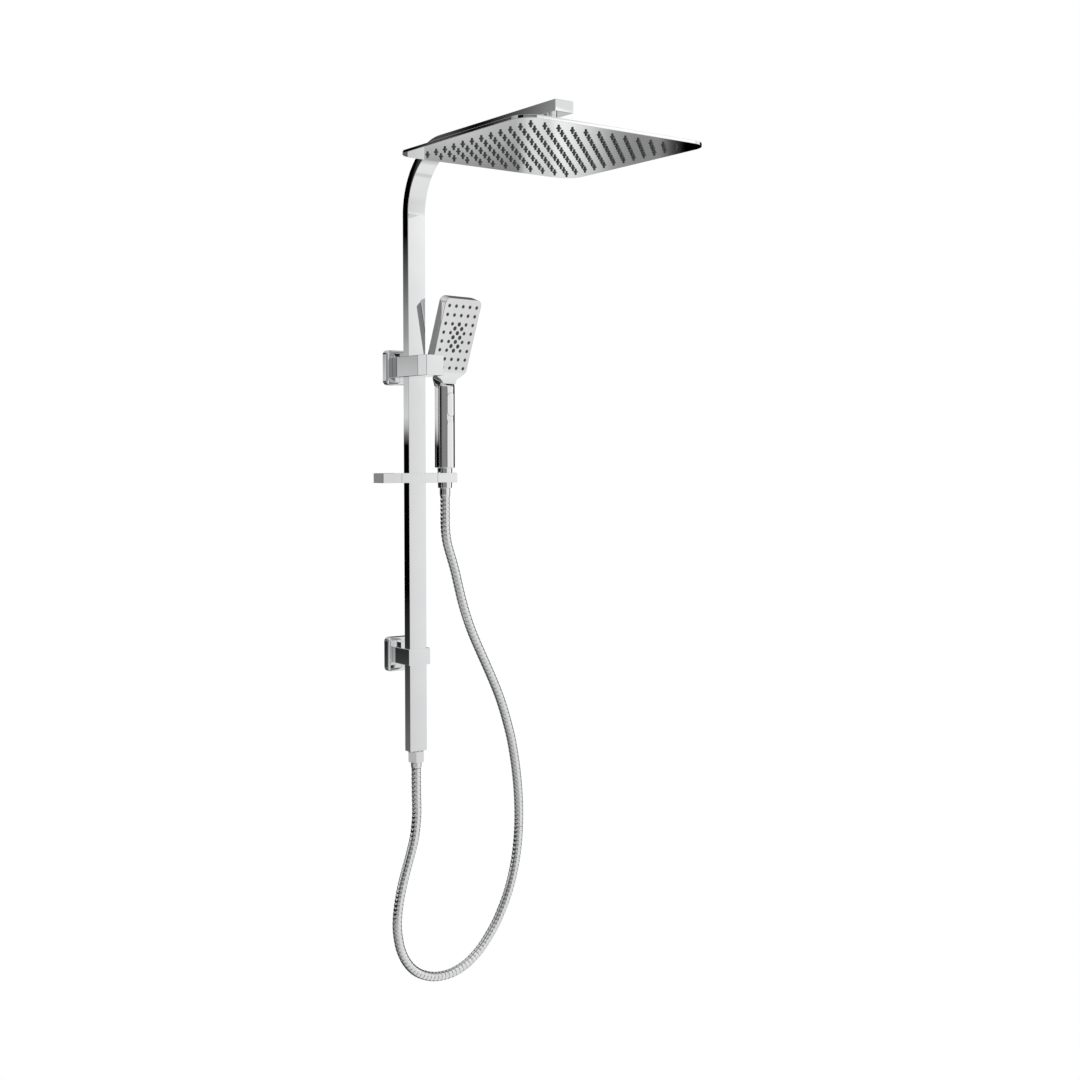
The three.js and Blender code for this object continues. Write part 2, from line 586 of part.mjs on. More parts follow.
const hoseTop = group(column, [HANDSET_X, RAIL_Y, 0]);
add(hoseTop, 'hose_conical_nut', turned([
  [SPOUT_DIAMETER / 2 + GAP, NUT_Z], [NUT_TOP, NUT_Z], [NUT_FOOT, NUT_Z - NUT_HEIGHT],
  [6.4, NUT_Z - NUT_HEIGHT], [6.4, NUT_Z - 17], [SPOUT_DIAMETER / 2 + GAP, NUT_Z - 17],
].reverse()), chrome);
add(hoseTop, 'handset_washer', ring(WASHER_RADIUS, 4.6, NUT_Z - 14, NUT_Z - 12), rubber);
add(hoseTop, 'hose_upper_insert', cut(
  join(rod(INSERT_RADIUS, UPPER_FERRULE_BOTTOM + 1, NUT_Z - 15),
    rod(INSERT_HEAD, NUT_Z - 16.6, NUT_Z - 14.3)),
  rod(INSERT_BORE, 0, 400)), brass);
add(hoseTop, 'hose_upper_ferrule',
  ring(FERRULE_DIAMETER / 2, SWAGE_RADIUS, UPPER_FERRULE_BOTTOM, UPPER_FERRULE_TOP), chrome);

// The hose hangs parallel to the wall: [x, z] at places down its loop.
const HOSE_ROUTE = [
  [0, LOWER_FERRULE_BOTTOM - GAP], [0, -190], [0.2, -214], [0.6, -243], [-0.6, -260], [-3.5, -280],
  [-9, -300], [-15.8, -321], [-22.4, -341], [-28, -361], [-32.6, -383], [-35.2, -404],
  [-35.3, -421], [-33.3, -436], [-30.2, -450], [-25.2, -463], [-17.4, -476.5], [-7.4, -488],
  [3.6, -496.4], [14.8, -502], [25.4, -505.8], [36, -508], [47.7, -508.8], [60, -508.4],
  [72, -506], [84.6, -502], [97, -496], [108.6, -488], [119.3, -479.3], [129.4, -468.7],
  [139.6, -456.2], [150, -442], [159.8, -424.7], [169, -406.4], [182, -370.4], [190.6, -330],
  [194.3, -287], [193.6, -243], [189.2, -200], [180.1, -150], [173.2, -125.5], [165.2, -100.6],
  [155.6, -75.3], [143.9, -50], [131.2, -24.4], [118, 1.5], [105.4, 27], [94.6, 53], [85.6, 79.5],
  [78.4, 105.5], [71.7, 130.5], [64.2, 153], [58, 172.3], [55.2, 190], [HANDSET_X, 206],
  [HANDSET_X, 220], [HANDSET_X, UPPER_FERRULE_BOTTOM - GAP],
];
const HOSE_STEPS = 56;

function hose() {
  const points = HOSE_ROUTE.map(([x, z]) => new THREE.Vector3(x, RAIL_Y, z));
  return new THREE.ExtrudeGeometry(polygon(10, HOSE_DIAMETER / 2), {
    steps: HOSE_STEPS, extrudePath: new THREE.CatmullRomCurve3(points),
  });
}

add(column, 'hose', hose(), chrome);

// ---------- rain head on its ball joint ----------
const sheet = (z0, z1, inset = 0) => prism(
  roundedRect(HEAD_SIZE - 2 * inset, HEAD_SIZE - 2 * inset, HEAD_CORNER - inset), z0, z1, 0, 6);

const rain = group(column, [0, HEAD_Y, 0]);
add(rain, 'arm_ball_nipple', turned([
  [4, 768], [9.2, 768], [9.2, 747], [6, 745.5], [6, BALL_Z + 7.3], [8.3, BALL_Z + 4.6],
  [BALL_RADIUS, BALL_Z], [8.3, BALL_Z - 4.6], [6, BALL_Z - 7.3], [4, BALL_Z - 8.6],
].reverse()), chrome);
add(rain, 'ball_seat_ring', ring(9.7, 8.5, BALL_Z - 6.4, BALL_Z - 4.9), nylon);
add(rain, 'swivel_nut', turned([
  [9.6, 741.5], [12.6, 741.5], [13.5, 740.5], [13.5, 722.4], [11.4, 722.4], [11.4, 735], [8.9, 737.4],
].reverse()), chrome);
add(rain, 'head_socket', turned([
  [4.5, 715.3], [16, 715.3], [16, 720.8], [11.1, 722], [11.1, 725], [9.4, 725], [9.4, 721.6],
  [4.5, 719],
]), chrome);
add(rain, 'rain_head_shell', cut(
  sheet(HEAD_BOTTOM_Z + 1.1, HEAD_BOTTOM_Z + 4), sheet(HEAD_BOTTOM_Z, HEAD_BOTTOM_Z + 3.2, 1.2),
  rod(4.5, 700, 730)), chrome);
add(rain, 'rain_nozzle_mat', sheet(HEAD_BOTTOM_Z + 1.2, HEAD_BOTTOM_Z + 2.2, 1.6), silicone);
add(rain, 'rain_head_face', sheet(HEAD_BOTTOM_Z, HEAD_BOTTOM_Z + 0.8), chrome);

export default column;
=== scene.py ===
# Rainfall shower column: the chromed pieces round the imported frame, with studio, camera and hose.
# Mesh code works in millimetres in the frame's axes: +X right, +Y into the wall, +Z up.
import math

import bmesh
import bpy
from mathutils import Matrix, Vector


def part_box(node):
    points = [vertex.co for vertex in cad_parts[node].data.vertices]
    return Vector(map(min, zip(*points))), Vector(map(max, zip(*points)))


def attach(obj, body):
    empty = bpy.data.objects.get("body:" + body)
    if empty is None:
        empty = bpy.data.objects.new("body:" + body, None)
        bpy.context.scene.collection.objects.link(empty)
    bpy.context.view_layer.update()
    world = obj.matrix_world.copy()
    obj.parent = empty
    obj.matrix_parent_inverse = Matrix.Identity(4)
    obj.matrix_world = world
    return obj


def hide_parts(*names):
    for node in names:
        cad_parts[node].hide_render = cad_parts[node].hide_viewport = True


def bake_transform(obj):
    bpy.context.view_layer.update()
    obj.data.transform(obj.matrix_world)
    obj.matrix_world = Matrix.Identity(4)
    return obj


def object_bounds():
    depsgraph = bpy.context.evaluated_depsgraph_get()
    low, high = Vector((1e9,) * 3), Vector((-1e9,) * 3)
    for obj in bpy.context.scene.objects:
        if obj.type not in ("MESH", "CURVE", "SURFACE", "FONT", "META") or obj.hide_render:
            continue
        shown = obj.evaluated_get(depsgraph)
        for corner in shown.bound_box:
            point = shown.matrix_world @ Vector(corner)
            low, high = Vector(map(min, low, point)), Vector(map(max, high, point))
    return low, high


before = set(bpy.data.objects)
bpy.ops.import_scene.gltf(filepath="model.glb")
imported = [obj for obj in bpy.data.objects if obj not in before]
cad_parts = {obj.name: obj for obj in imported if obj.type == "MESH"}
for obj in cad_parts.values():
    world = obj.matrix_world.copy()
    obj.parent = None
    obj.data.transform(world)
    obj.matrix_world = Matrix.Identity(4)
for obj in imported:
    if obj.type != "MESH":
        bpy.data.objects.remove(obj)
cad_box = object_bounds()
scene = bpy.context.scene
MM = 0.001
GAP = 0.3                       # clearance between neighbouring pieces, as in the frame


def box_mm(node):
    low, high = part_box(node)
    return [c / MM for c in low], [c / MM for c in high]


def centre_mm(node):
    low, high = box_mm(node)
    return [(a + b) / 2 for a, b in zip(low, high)]


# ---------------------------------------------------------------- camera
# Place, aim and lens were fitted together to the corners of the column.
CAMERA_PLACE = (-1.2258, -2.0284, 0.3041)
CAMERA_AIM = (0.5936, 0.8029, -0.0541)
FOCAL_LENGTH = 50.65            # for a sensor 36 wide


def make_camera():
    data = bpy.data.cameras.new("photo_camera")
    data.sensor_fit = "HORIZONTAL"
    data.sensor_width = 36.0
    data.lens = FOCAL_LENGTH
    data.clip_start = 0.05
    data.clip_end = 60.0
    camera = bpy.data.objects.new("photo_camera", data)
    scene.collection.objects.link(camera)
    forward = Vector(CAMERA_AIM).normalized()
    right = forward.cross(Vector((0, 0, 1))).normalized()
    up = right.cross(forward)
    turn = Matrix((right, up, -forward)).transposed()
    camera.matrix_world = Matrix.Translation(CAMERA_PLACE) @ turn.to_4x4()
    scene.camera = camera


make_camera()


# ---------------------------------------------------------------- node graphs
class Graph:
    """Short names for the nodes of one shader tree."""

    def __init__(self, tree):
        self.tree = tree
        tree.nodes.clear()

    def node(self, kind, **settings):
        made = self.tree.nodes.new(kind)
        for key, value in settings.items():
            setattr(made, key, value)
        return made

    def link(self, a, b):
        self.tree.links.new(a, b)

    def put(self, socket, value):
        if isinstance(value, (int, float, tuple)):
            socket.default_value = value
        else:
            self.link(value, socket)

    def math(self, operation, a, b=0.0, c=0.0, clamp=False):
        made = self.node("ShaderNodeMath", operation=operation, use_clamp=clamp)
        for socket, value in zip(made.inputs, (a, b, c)):
            self.put(socket, value)
        return made.outputs[0]

    def ramp(self, value, stops):
        """A curve through [(value, level), ...]; the value may be any number."""
        low, high = stops[0][0], stops[-1][0]
        made = self.node("ShaderNodeValToRGB")
        elements = made.color_ramp.elements
        while len(elements) < len(stops):
            elements.new(0.5)
        for element, (place, level) in zip(elements, stops):
            element.position = (place - low) / (high - low)
            element.color = (level, level, level, 1)
        span = high - low
        scaled = self.math("MULTIPLY_ADD", value, 1 / span, -low / span, clamp=True)
        self.link(scaled, made.inputs["Fac"])
        return made.outputs["Color"]

    def mix(self, share, a, b):
        """a where share is 0, b where it is 1."""
        made = self.node("ShaderNodeMix", data_type="FLOAT")
        self.put(made.inputs[0], share)
        self.put(made.inputs[2], a)
        self.put(made.inputs[3], b)
        return made.outputs[0]

    def between(self, value, low, high, soft):
        """1 from low to high, falling to 0 over soft on both sides."""
        return self.ramp(value, [(low - soft, 0), (low, 1), (high, 1), (high + soft, 0)])


# ---------------------------------------------------------------- studio
# Brightness of the room that the chrome mirrors, as curves by compass angle (0 straight out of the
# wall, 90 to the right, 180 into the wall) or by height above the horizon, both in degrees.
ROUND_THE_ROOM = [
    (-180, 0), (-99, 0), (-71, 0), (-69, 0.20), (-40, 0.25), (-20, 0.23), (-3, 0.20),
    (0, 0.80), (15, 0.88), (26, 0.86), (29, 0.72), (30.7, 0.70), (32, 0.80), (33.2, 0.86),
    (36, 0.90), (48, 0.90), (52, 0.83), (59, 0.83), (64, 0.97), (84, 1.0), (89, 0.03), (92, 0),
    (149, 0), (149.2, 0.08), (180, 0),
]
FRONT_BY_HEIGHT = [(-20, 0.90), (-10.8, 0.93), (-7, 0.98), (-3.6, 1.0), (2.4, 1.0)]
RISE_IN_FRONT = [
    (2.4, 1.0), (5, 1.07), (8, 1.14), (12, 1.3), (12.4, 1.3), (12.7, 0.88), (24, 0.85),
]
LOW_ON_THE_LEFT = [(-99, 0.3), (-97, 0.49), (-72, 0.49), (-69, 0.45), (-3, 0.45), (0, 0.8)]
BEHIND_BY_HEIGHT = [
    (-60, 0.45), (-30, 0.30), (-16, 0.19), (-10.8, 0.133), (-9.4, 0.089), (-8, 0.053),
    (-7.2, 0.029), (-5.8, 0.013), (-5, 0), (0.6, 0), (0.67, 0.02), (0.89, 0.21), (1.115, 0.42),
    (1.34, 0.62), (1.55, 0.66), (2.0, 0.64), (2.4, 0.59), (3.1, 0.54), (3.8, 0.444), (4.6, 0.322),
    (5.3, 0.256), (6.1, 0.167), (6.8, 0.1), (7.5, 0.044), (8.2, 0), (10.5, 0), (30, 0.01),
]
BEHIND_ALL_ROUND = [
    (-60, 0.10), (-16, 0.12), (-10.8, 0.12), (-8, 0.06), (-5.8, 0.013), (-5, 0), (0.5, 0),
    (0.65, 0.35), (1.0, 0.62), (1.34, 0.70), (2.4, 0.75), (10, 0.72),
]
BEHIND_HIGH = [
    (-180, 0), (-148.2, 0), (-147.7, 0.07), (-147.1, 0.07), (-146.5, 0.02), (-146, 0.001),
    (-145.4, 0.014), (-144.84, 0.055), (-144.28, 0.10), (-143.7, 0.167), (-143.1, 0.248),
    (-142.5, 0.30), (-101, 0.5),
]
UNDER_THE_HEAD = [
    (125, 0), (138.2, 0), (138.6, 0.07), (139.1, 0.26), (140.0, 0.27), (140.5, 0.32),
    (140.8, 0.36), (141.1, 0.45), (141.4, 0.58), (141.7, 0.68), (142.3, 0.83), (142.6, 0.89),
    (142.9, 0.88), (143.2, 0.70), (143.7, 0.76), (144.0, 0.66), (144.4, 0.37), (145, 0.39),
    (146, 0.464), (147, 0.49), (155, 0.5),
]
HEAD_NEAR_WALL = [
    (-12.3, 1.28), (-11.8, 1.2), (-11.4, 1.0), (-11.1, 0.87), (-10.7, 0.68), (-10.2, 0.5),
]
HEAD_IN_FRONT = [(-12.4, 1.03), (-10.9, 0.97), (-10.4, 0.9)]
BELOW = [
    (-180, 0.05), (-140, 0.06), (-120, 0.10), (-106, 0.16), (-90, 0.30), (-74, 0.39), (-60, 0.50),
    (-10, 0.65), (20, 0.80), (53.5, 0.83), (56.5, 0.68), (60, 0.66), (66, 0.84), (92, 0.85),
    (115, 0.48), (134, 0.43), (143, 0.24), (160, 0.20), (180, 0.05),
]
ABOVE = [
    (-180, 0.55), (-120, 0.75), (-97, 0.12), (-75, 0.10), (-60, 0.60), (-10, 0.92), (30, 0.88),
    (46, 0.80), (60, 0.72), (70, 0.6), (90, 0.35), (100, 0.10), (125, 0.10), (140, 0.4),
    (180, 0.55),
]
FLOOR_DROP = 0.30               # the hose hangs this far down at the slider's lower limit
FLOOR_HALF = 9.0


def front_of_room(g, angle, height):
    """What stands before the wall: the big soft panels and the paler patch low on the left."""
    room = g.math("MULTIPLY", g.ramp(angle, ROUND_THE_ROOM), g.ramp(height, FRONT_BY_HEIGHT))
    rise = g.mix(g.ramp(angle, [(43, 0), (46, 1)]), g.ramp(height, RISE_IN_FRONT), 1.0)
    room = g.math("MULTIPLY", room, rise)
    depth = g.mix(g.ramp(angle, [(-71.5, 0), (-70, 1)]),
                  g.ramp(height, [(-10.8, 1), (-9.4, 0)]), g.ramp(height, [(-8, 1), (-5.5, 0)]))
    low = g.math("MULTIPLY", g.between(angle, -98, -1.5, 1), depth)
    return g.mix(low, room, g.ramp(angle, LOW_ON_THE_LEFT))


def behind_wall(g, angle, height):
    """What the sides of the rail, the lock grip and the slider mirror, past the wall's plane."""
    grip_side = g.math(
        "MULTIPLY", g.ramp(angle, [(-157, 0), (-155, 0.25), (-149.3, 0.25), (-149.0, 0)]),
        g.between(height, -4, 0.3, 1.0))
    rail_side = g.math("ADD", g.ramp(height, BEHIND_BY_HEIGHT), grip_side)
    behind = g.mix(g.ramp(angle, [(-146.9, 0), (-146.3, 1)]), rail_side,
                   g.ramp(height, BEHIND_ALL_ROUND))
    return g.mix(g.ramp(height, [(9.4, 0), (9.9, 1)]), behind, g.ramp(angle, BEHIND_HIGH))


def make_world():
    world = bpy.data.worlds.new("studio_room")
    world.use_nodes = True
    scene.world = world
    world.cycles.sampling_method = "NONE"
    g = Graph(world.node_tree)
    axes = g.node("ShaderNodeSeparateXYZ")
    g.link(g.node("ShaderNodeTexCoord").outputs["Generated"], axes.inputs[0])
    x, y, z = axes.outputs
    to_degrees = 180 / math.pi
    angle = g.math("MULTIPLY", g.math("ARCTAN2", x, g.math("MULTIPLY", y, -1.0)), to_degrees)
    height = g.math("MULTIPLY", g.math("ARCSINE", z), to_degrees)

    def patch(round_it, up_it):
        """1 inside a patch of the room, from (low, high, soft edge) round it and up it."""
        return g.math("MULTIPLY", g.between(angle, *round_it), g.between(height, *up_it))

    room = front_of_room(g, angle, height)
    room = g.math("MULTIPLY_ADD", patch((143.3, 148.95, 0.1), (-9, 3.4, 0.2)), 0.8, room)
    past_wall = g.math("ADD", g.ramp(angle, [(-100, 1), (-99, 0)]),
                       g.ramp(angle, [(149.6, 0), (150.6, 1)]))
    room = g.mix(past_wall, room, behind_wall(g, angle, height))
    room = g.mix(patch((136, 150, 1), (11, 20, 1)), room, 0.6)
    by_height = g.mix(g.ramp(angle, [(144.1, 0), (144.4, 1)]),
                      g.ramp(height, HEAD_IN_FRONT), g.ramp(height, HEAD_NEAR_WALL))
    rain_head_sees = g.math("MULTIPLY", g.ramp(angle, UNDER_THE_HEAD), by_height)
    room = g.mix(patch((128, 153, 1), (-14, -9.5, 0.5)), room, rain_head_sees)
    room = g.mix(g.ramp(height, [(-26, 1), (-15, 0)]), room, g.ramp(angle, BELOW))
    room = g.mix(g.ramp(height, [(18, 0), (34, 1)]), room, g.ramp(angle, ABOVE))

    mirrored = g.node("ShaderNodeBackground")
    g.link(room, mirrored.inputs["Color"])
    white = g.node("ShaderNodeBackground")
    white.inputs["Color"].default_value = (1, 1, 1, 1)
    choose = g.node("ShaderNodeMixShader")
    g.link(g.node("ShaderNodeLightPath").outputs["Is Camera Ray"], choose.inputs[0])
    g.link(mirrored.outputs[0], choose.inputs[1])
    g.link(white.outputs[0], choose.inputs[2])
    g.link(choose.outputs[0], g.node("ShaderNodeOutputWorld").inputs["Surface"])
    scene.view_settings.view_transform = "Standard"
    scene.view_settings.look = "None"


def softbox(name, place, aim, size, watts):
    data = bpy.data.lights.new(name, "AREA")
    data.shape = "RECTANGLE"
    data.size, data.size_y = size
    data.energy = watts
    lamp = bpy.data.objects.new(name, data)
    scene.collection.objects.link(lamp)
    lamp.location = place
    lamp.rotation_euler = (Vector(aim) - Vector(place)).to_track_quat("-Z", "Y").to_euler()
    lamp.visible_glossy = False
    lamp.visible_camera = False


def make_floor():
    mesh = bpy.data.meshes.new("studio_floor")
    low, half = cad_box[0][2] - FLOOR_DROP, FLOOR_HALF
    corners = [(-half, -half, low), (half, -half, low), (half, half, low), (-half, half, low)]
    mesh.from_pydata(corners, [], [(0, 1, 2, 3)])
    floor = bpy.data.objects.new("studio_floor", mesh)
    scene.collection.objects.link(floor)
    material = bpy.data.materials.new("pale_floor")
    material.use_nodes = True
    g = Graph(material.node_tree)
    glow = g.node("ShaderNodeEmission")
    glow.inputs["Color"].default_value = (1, 1, 1, 1)
    g.link(glow.outputs[0], g.node("ShaderNodeOutputMaterial").inputs["Surface"])
    mesh.materials.append(material)
    floor.visible_glossy = False
    floor.visible_diffuse = False


make_world()
softbox("key_softbox", (-1.6, -2.2, 2.2), (0, -0.1, 0.3), (1.8, 1.2), 26)
softbox("fill_softbox", (2.2, -1.6, 1.0), (0, -0.1, 0.2), (1.2, 1.8), 14)
make_floor()


# ---------------------------------------------------------------- materials
def material(name, colours, metallic, roughness, grain, bump, bump_grain=None):
    """A procedural finish: two colours, a roughness range and a height, each from its own noise.
    grain is the number of noise cells in a metre, and bump the height of its relief in metres."""
    made = bpy.data.materials.new(name)
    made.use_nodes = True
    g = Graph(made.node_tree)
    surface = g.node("ShaderNodeBsdfPrincipled")
    surface.inputs["Metallic"].default_value = metallic
    g.link(surface.outputs[0], g.node("ShaderNodeOutputMaterial").inputs["Surface"])
    place = g.node("ShaderNodeTexCoord").outputs["Object"]

    def noise(scale, detail):
        texture = g.node("ShaderNodeTexNoise")
        texture.inputs["Scale"].default_value = scale
        texture.inputs["Detail"].default_value = detail
        g.link(place, texture.inputs["Vector"])
        return texture.outputs["Fac"]

    tint = g.node("ShaderNodeValToRGB")
    for element, place_on_ramp, colour in zip(tint.color_ramp.elements, (0.35, 0.65), colours):
        element.position = place_on_ramp
        element.color = (*colour, 1)
    g.link(noise(grain, 3.0), tint.inputs["Fac"])
    g.link(tint.outputs["Color"], surface.inputs["Base Color"])
    rough = g.node("ShaderNodeMapRange")
    rough.inputs["From Min"].default_value = 0.3
    rough.inputs["From Max"].default_value = 0.7
    rough.inputs["To Min"].default_value = roughness[0]
    rough.inputs["To Max"].default_value = roughness[1]
    g.link(noise(grain * 2.3, 4.0), rough.inputs["Value"])
    g.link(rough.outputs[0], surface.inputs["Roughness"])
    relief = g.node("ShaderNodeBump")
    relief.inputs["Strength"].default_value = 1.0
    relief.inputs["Distance"].default_value = bump
    g.link(noise(bump_grain or grain, 2.0), relief.inputs["Height"])
    g.link(relief.outputs[0], surface.inputs["Normal"])
    return made


CHROME = material("chromed_brass", ((0.885, 0.89, 0.90), (0.905, 0.91, 0.915)), 1.0,
                  (0.010, 0.018), 30, 0.0000008, 60)
STEEL = material("polished_steel", ((0.875, 0.88, 0.885), (0.90, 0.905, 0.91)), 1.0,
                 (0.010, 0.020), 26, 0.0000008, 50)
PLASTIC = material("chromed_plastic", ((0.885, 0.89, 0.895), (0.91, 0.91, 0.915)), 1.0,
                   (0.012, 0.022), 40, 0.000001, 70)
HOSE = material("chromed_hose", ((0.80, 0.81, 0.82), (0.88, 0.885, 0.89)), 1.0,
                (0.012, 0.03), 160, 0.000001, 400)
BRASS = material("brass", ((0.60, 0.47, 0.23), (0.72, 0.58, 0.32)), 1.0, (0.22, 0.36), 90, 0.00001)
ZINC = material("steel", ((0.50, 0.51, 0.52), (0.62, 0.63, 0.64)), 1.0, (0.25, 0.42), 120, 0.00001)
NYLON = material("nylon", ((0.78, 0.77, 0.73), (0.86, 0.85, 0.81)), 0.0, (0.5, 0.65), 150, 0.00002)
RUBBER = material("black_rubber", ((0.018, 0.018, 0.02), (0.04, 0.04, 0.043)), 0.0, (0.65, 0.85),
                  200, 0.00003)
NOZZLE = material("pale_silicone", ((0.085, 0.088, 0.092), (0.11, 0.113, 0.117)), 0.0,
                  (0.38, 0.52), 180, 0.00002)
SILICONE = material("grey_silicone", ((0.035, 0.037, 0.04), (0.06, 0.063, 0.066)), 0.0,
                    (0.38, 0.52), 180, 0.00002)


# ---------------------------------------------------------------- mesh tools
def rounded_rect(width, height, radius, steps=5):
    radius = max(radius, 0.05)
    points = []
    for quarter in range(4):
        cx = (width / 2 - radius) * (1 if quarter in (0, 3) else -1)
        cy = (height / 2 - radius) * (1 if quarter in (0, 1) else -1)
        for i in range(steps + 1):
            a = math.pi / 2 * (quarter + i / steps)
            points.append((cx + radius * math.cos(a), cy + radius * math.sin(a)))
    return points


def inset_rect(width, height, radius, steps=5, least=0.05):
    """The outline(inset) that slab takes: a rounded rectangle, smaller by inset on every side."""
    return lambda inset: rounded_rect(width - 2 * inset, height - 2 * inset,
                                      max(radius - inset, least), steps)


def circle(radius, sides=64):
    angles = [2 * math.pi * i / sides for i in range(sides)]
    return [(radius * math.cos(a), radius * math.sin(a)) for a in angles]


def link_mesh(name, verts, faces):
    mesh = bpy.data.meshes.new(name)
    mesh.from_pydata([Vector(v) * MM for v in verts], [], faces)
    mesh.validate()
    obj = bpy.data.objects.new(name, mesh)
    scene.collection.objects.link(obj)
    return obj


def loft(name, rings, place=None):
    """A closed solid through rings that have the same number of points."""
    count = len(rings[0])
    verts = [Vector(p) for ring in rings for p in ring]
    faces = [tuple(reversed(range(count)))]
    for r in range(len(rings) - 1):
        a, b = r * count, (r + 1) * count
        faces += [(a + i, a + (i + 1) % count, b + (i + 1) % count, b + i) for i in range(count)]
    last = (len(rings) - 1) * count
    faces.append(tuple(range(last, last + count)))
    if place is not None:
        verts = [place @ v for v in verts]
    return link_mesh(name, verts, faces)


def slab(name, outline, z0, z1, edge0=0.0, edge1=0.0, place=None, steps=4):
    """outline(inset) pushed from z0 to z1, with rounded rims of radius edge0 and edge1."""
    rings = []
    for i in range(steps + 1 if edge0 else 1):
        a = math.pi / 2 * i / steps
        inset = edge0 * (1 - math.sin(a)) if edge0 else 0
        rings.append((inset, z0 + (edge0 * (1 - math.cos(a)) if edge0 else 0)))
    for i in range(steps + 1 if edge1 else 1):
        a = math.pi / 2 * i / steps
        inset = edge1 * (1 - math.cos(a)) if edge1 else 0
        rings.append((inset, z1 - (edge1 * (1 - math.sin(a)) if edge1 else 0)))
    return loft(name, [[(x, y, z) for x, y in outline(inset)] for inset, z in rings], place)


def lathe(name, profile, sides=72, place=None):
    """A turned solid. profile is [(radius, height), ...], closed on itself or on the axis."""
    verts, rows = [], []
    for radius, height in profile:
        if radius < 1e-6:
            rows.append([len(verts)] * sides)
            verts.append(Vector((0, 0, height)))
        else:
            rows.append(list(range(len(verts), len(verts) + sides)))
            verts += [Vector((x, y, height)) for x, y in circle(radius, sides)]
    on_axis = profile[0][0] < 1e-6 and profile[-1][0] < 1e-6
    pairs = list(zip(rows, rows[1:])) + ([] if on_axis else [(rows[-1], rows[0])])
    faces = []
    for a, b in pairs:
        for i in range(sides):
            j = (i + 1) % sides
            face = [a[i], a[j], b[j], b[i]]
            face = [v for k, v in enumerate(face) if v != face[k - 1]]
            if len(face) > 2:
                faces.append(tuple(face))
    if place is not None:
        verts = [place @ v for v in verts]
    return link_mesh(name, verts, faces)


def rod(name, radius, z0, z1, sides=48, place=None):
    """A plain cylinder, mostly a drill."""
    return lathe(name, [(0, z0), (radius, z0), (radius, z1), (0, z1)], sides, place)


def boolean(target, cutter, operation="DIFFERENCE"):
    modifier = target.modifiers.new("cut", "BOOLEAN")
    modifier.operation = operation
    modifier.object = cutter
    modifier.solver = "EXACT"
    depsgraph = bpy.context.evaluated_depsgraph_get()
    mesh = bpy.data.meshes.new_from_object(target.evaluated_get(depsgraph))
    target.modifiers.clear()
    target.data = mesh
    bpy.data.objects.remove(cutter)
    return target


def cut(target, *cutters):
    for cutter in cutters:
        boolean(target, cutter)
    return target


def ease(obj, width, angle):
    """Rounds the edges that booleans leave sharper than angle."""
    mesh = bmesh.new()
    mesh.from_mesh(obj.data)
    bmesh.ops.remove_doubles(mesh, verts=mesh.verts, dist=0.000002)
    bmesh.ops.dissolve_limit(mesh, angle_limit=math.radians(0.5), verts=mesh.verts,
                             edges=mesh.edges)
    limit = math.radians(angle)
    sharp = [e for e in mesh.edges if e.is_manifold and e.calc_face_angle(0) > limit]
    bmesh.ops.bevel(mesh, geom=sharp, offset=width * MM, segments=2, affect="EDGES",
                    profile=0.5, clamp_overlap=True)
    mesh.to_mesh(obj.data)
    mesh.free()
    return obj


def finish_mesh(obj, finish, angle=32):
    obj.data.materials.clear()
    obj.data.materials.append(finish)
    obj.data.shade_smooth()
    obj.data.set_sharp_from_angle(angle=math.radians(angle))
    even = obj.modifiers.new("even_normals", "WEIGHTED_NORMAL")
    even.keep_sharp = True
    even.weight = 60


def piece(obj, body, finish, nodes=(), angle=32):
    """Makes obj a visible piece that rides on a body, in place of the CAD nodes."""
    finish_mesh(obj, finish, angle)
    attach(obj, body)
    if nodes:
        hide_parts(*nodes)
    return obj


# Turn a solid's own +Z out of the wall, or to the right along it.
OUT_OF_WALL = Matrix(((1, 0, 0, 0), (0, 0, -1, 0), (0, 1, 0, 0), (0, 0, 0, 1)))
ALONG_X = Matrix(((0, 0, 1, 0), (1, 0, 0, 0), (0, 1, 0, 0), (0, 0, 0, 1)))


def move(x, y, z):
    return Matrix.Translation((x, y, z))


def out_block(name, node, radius, front_edge, back_edge=0.0):
    """A block that stands out of the wall and fills a node's box, with rounded long edges."""
    low, high = box_mm(node)
    width, height = high[0] - low[0], high[2] - low[2]
    place = move((low[0] + high[0]) / 2, 0, (low[2] + high[2]) / 2) @ OUT_OF_WALL
    return slab(name, inset_rect(width, height, radius), -high[1], -low[1],
                back_edge, front_edge, place)


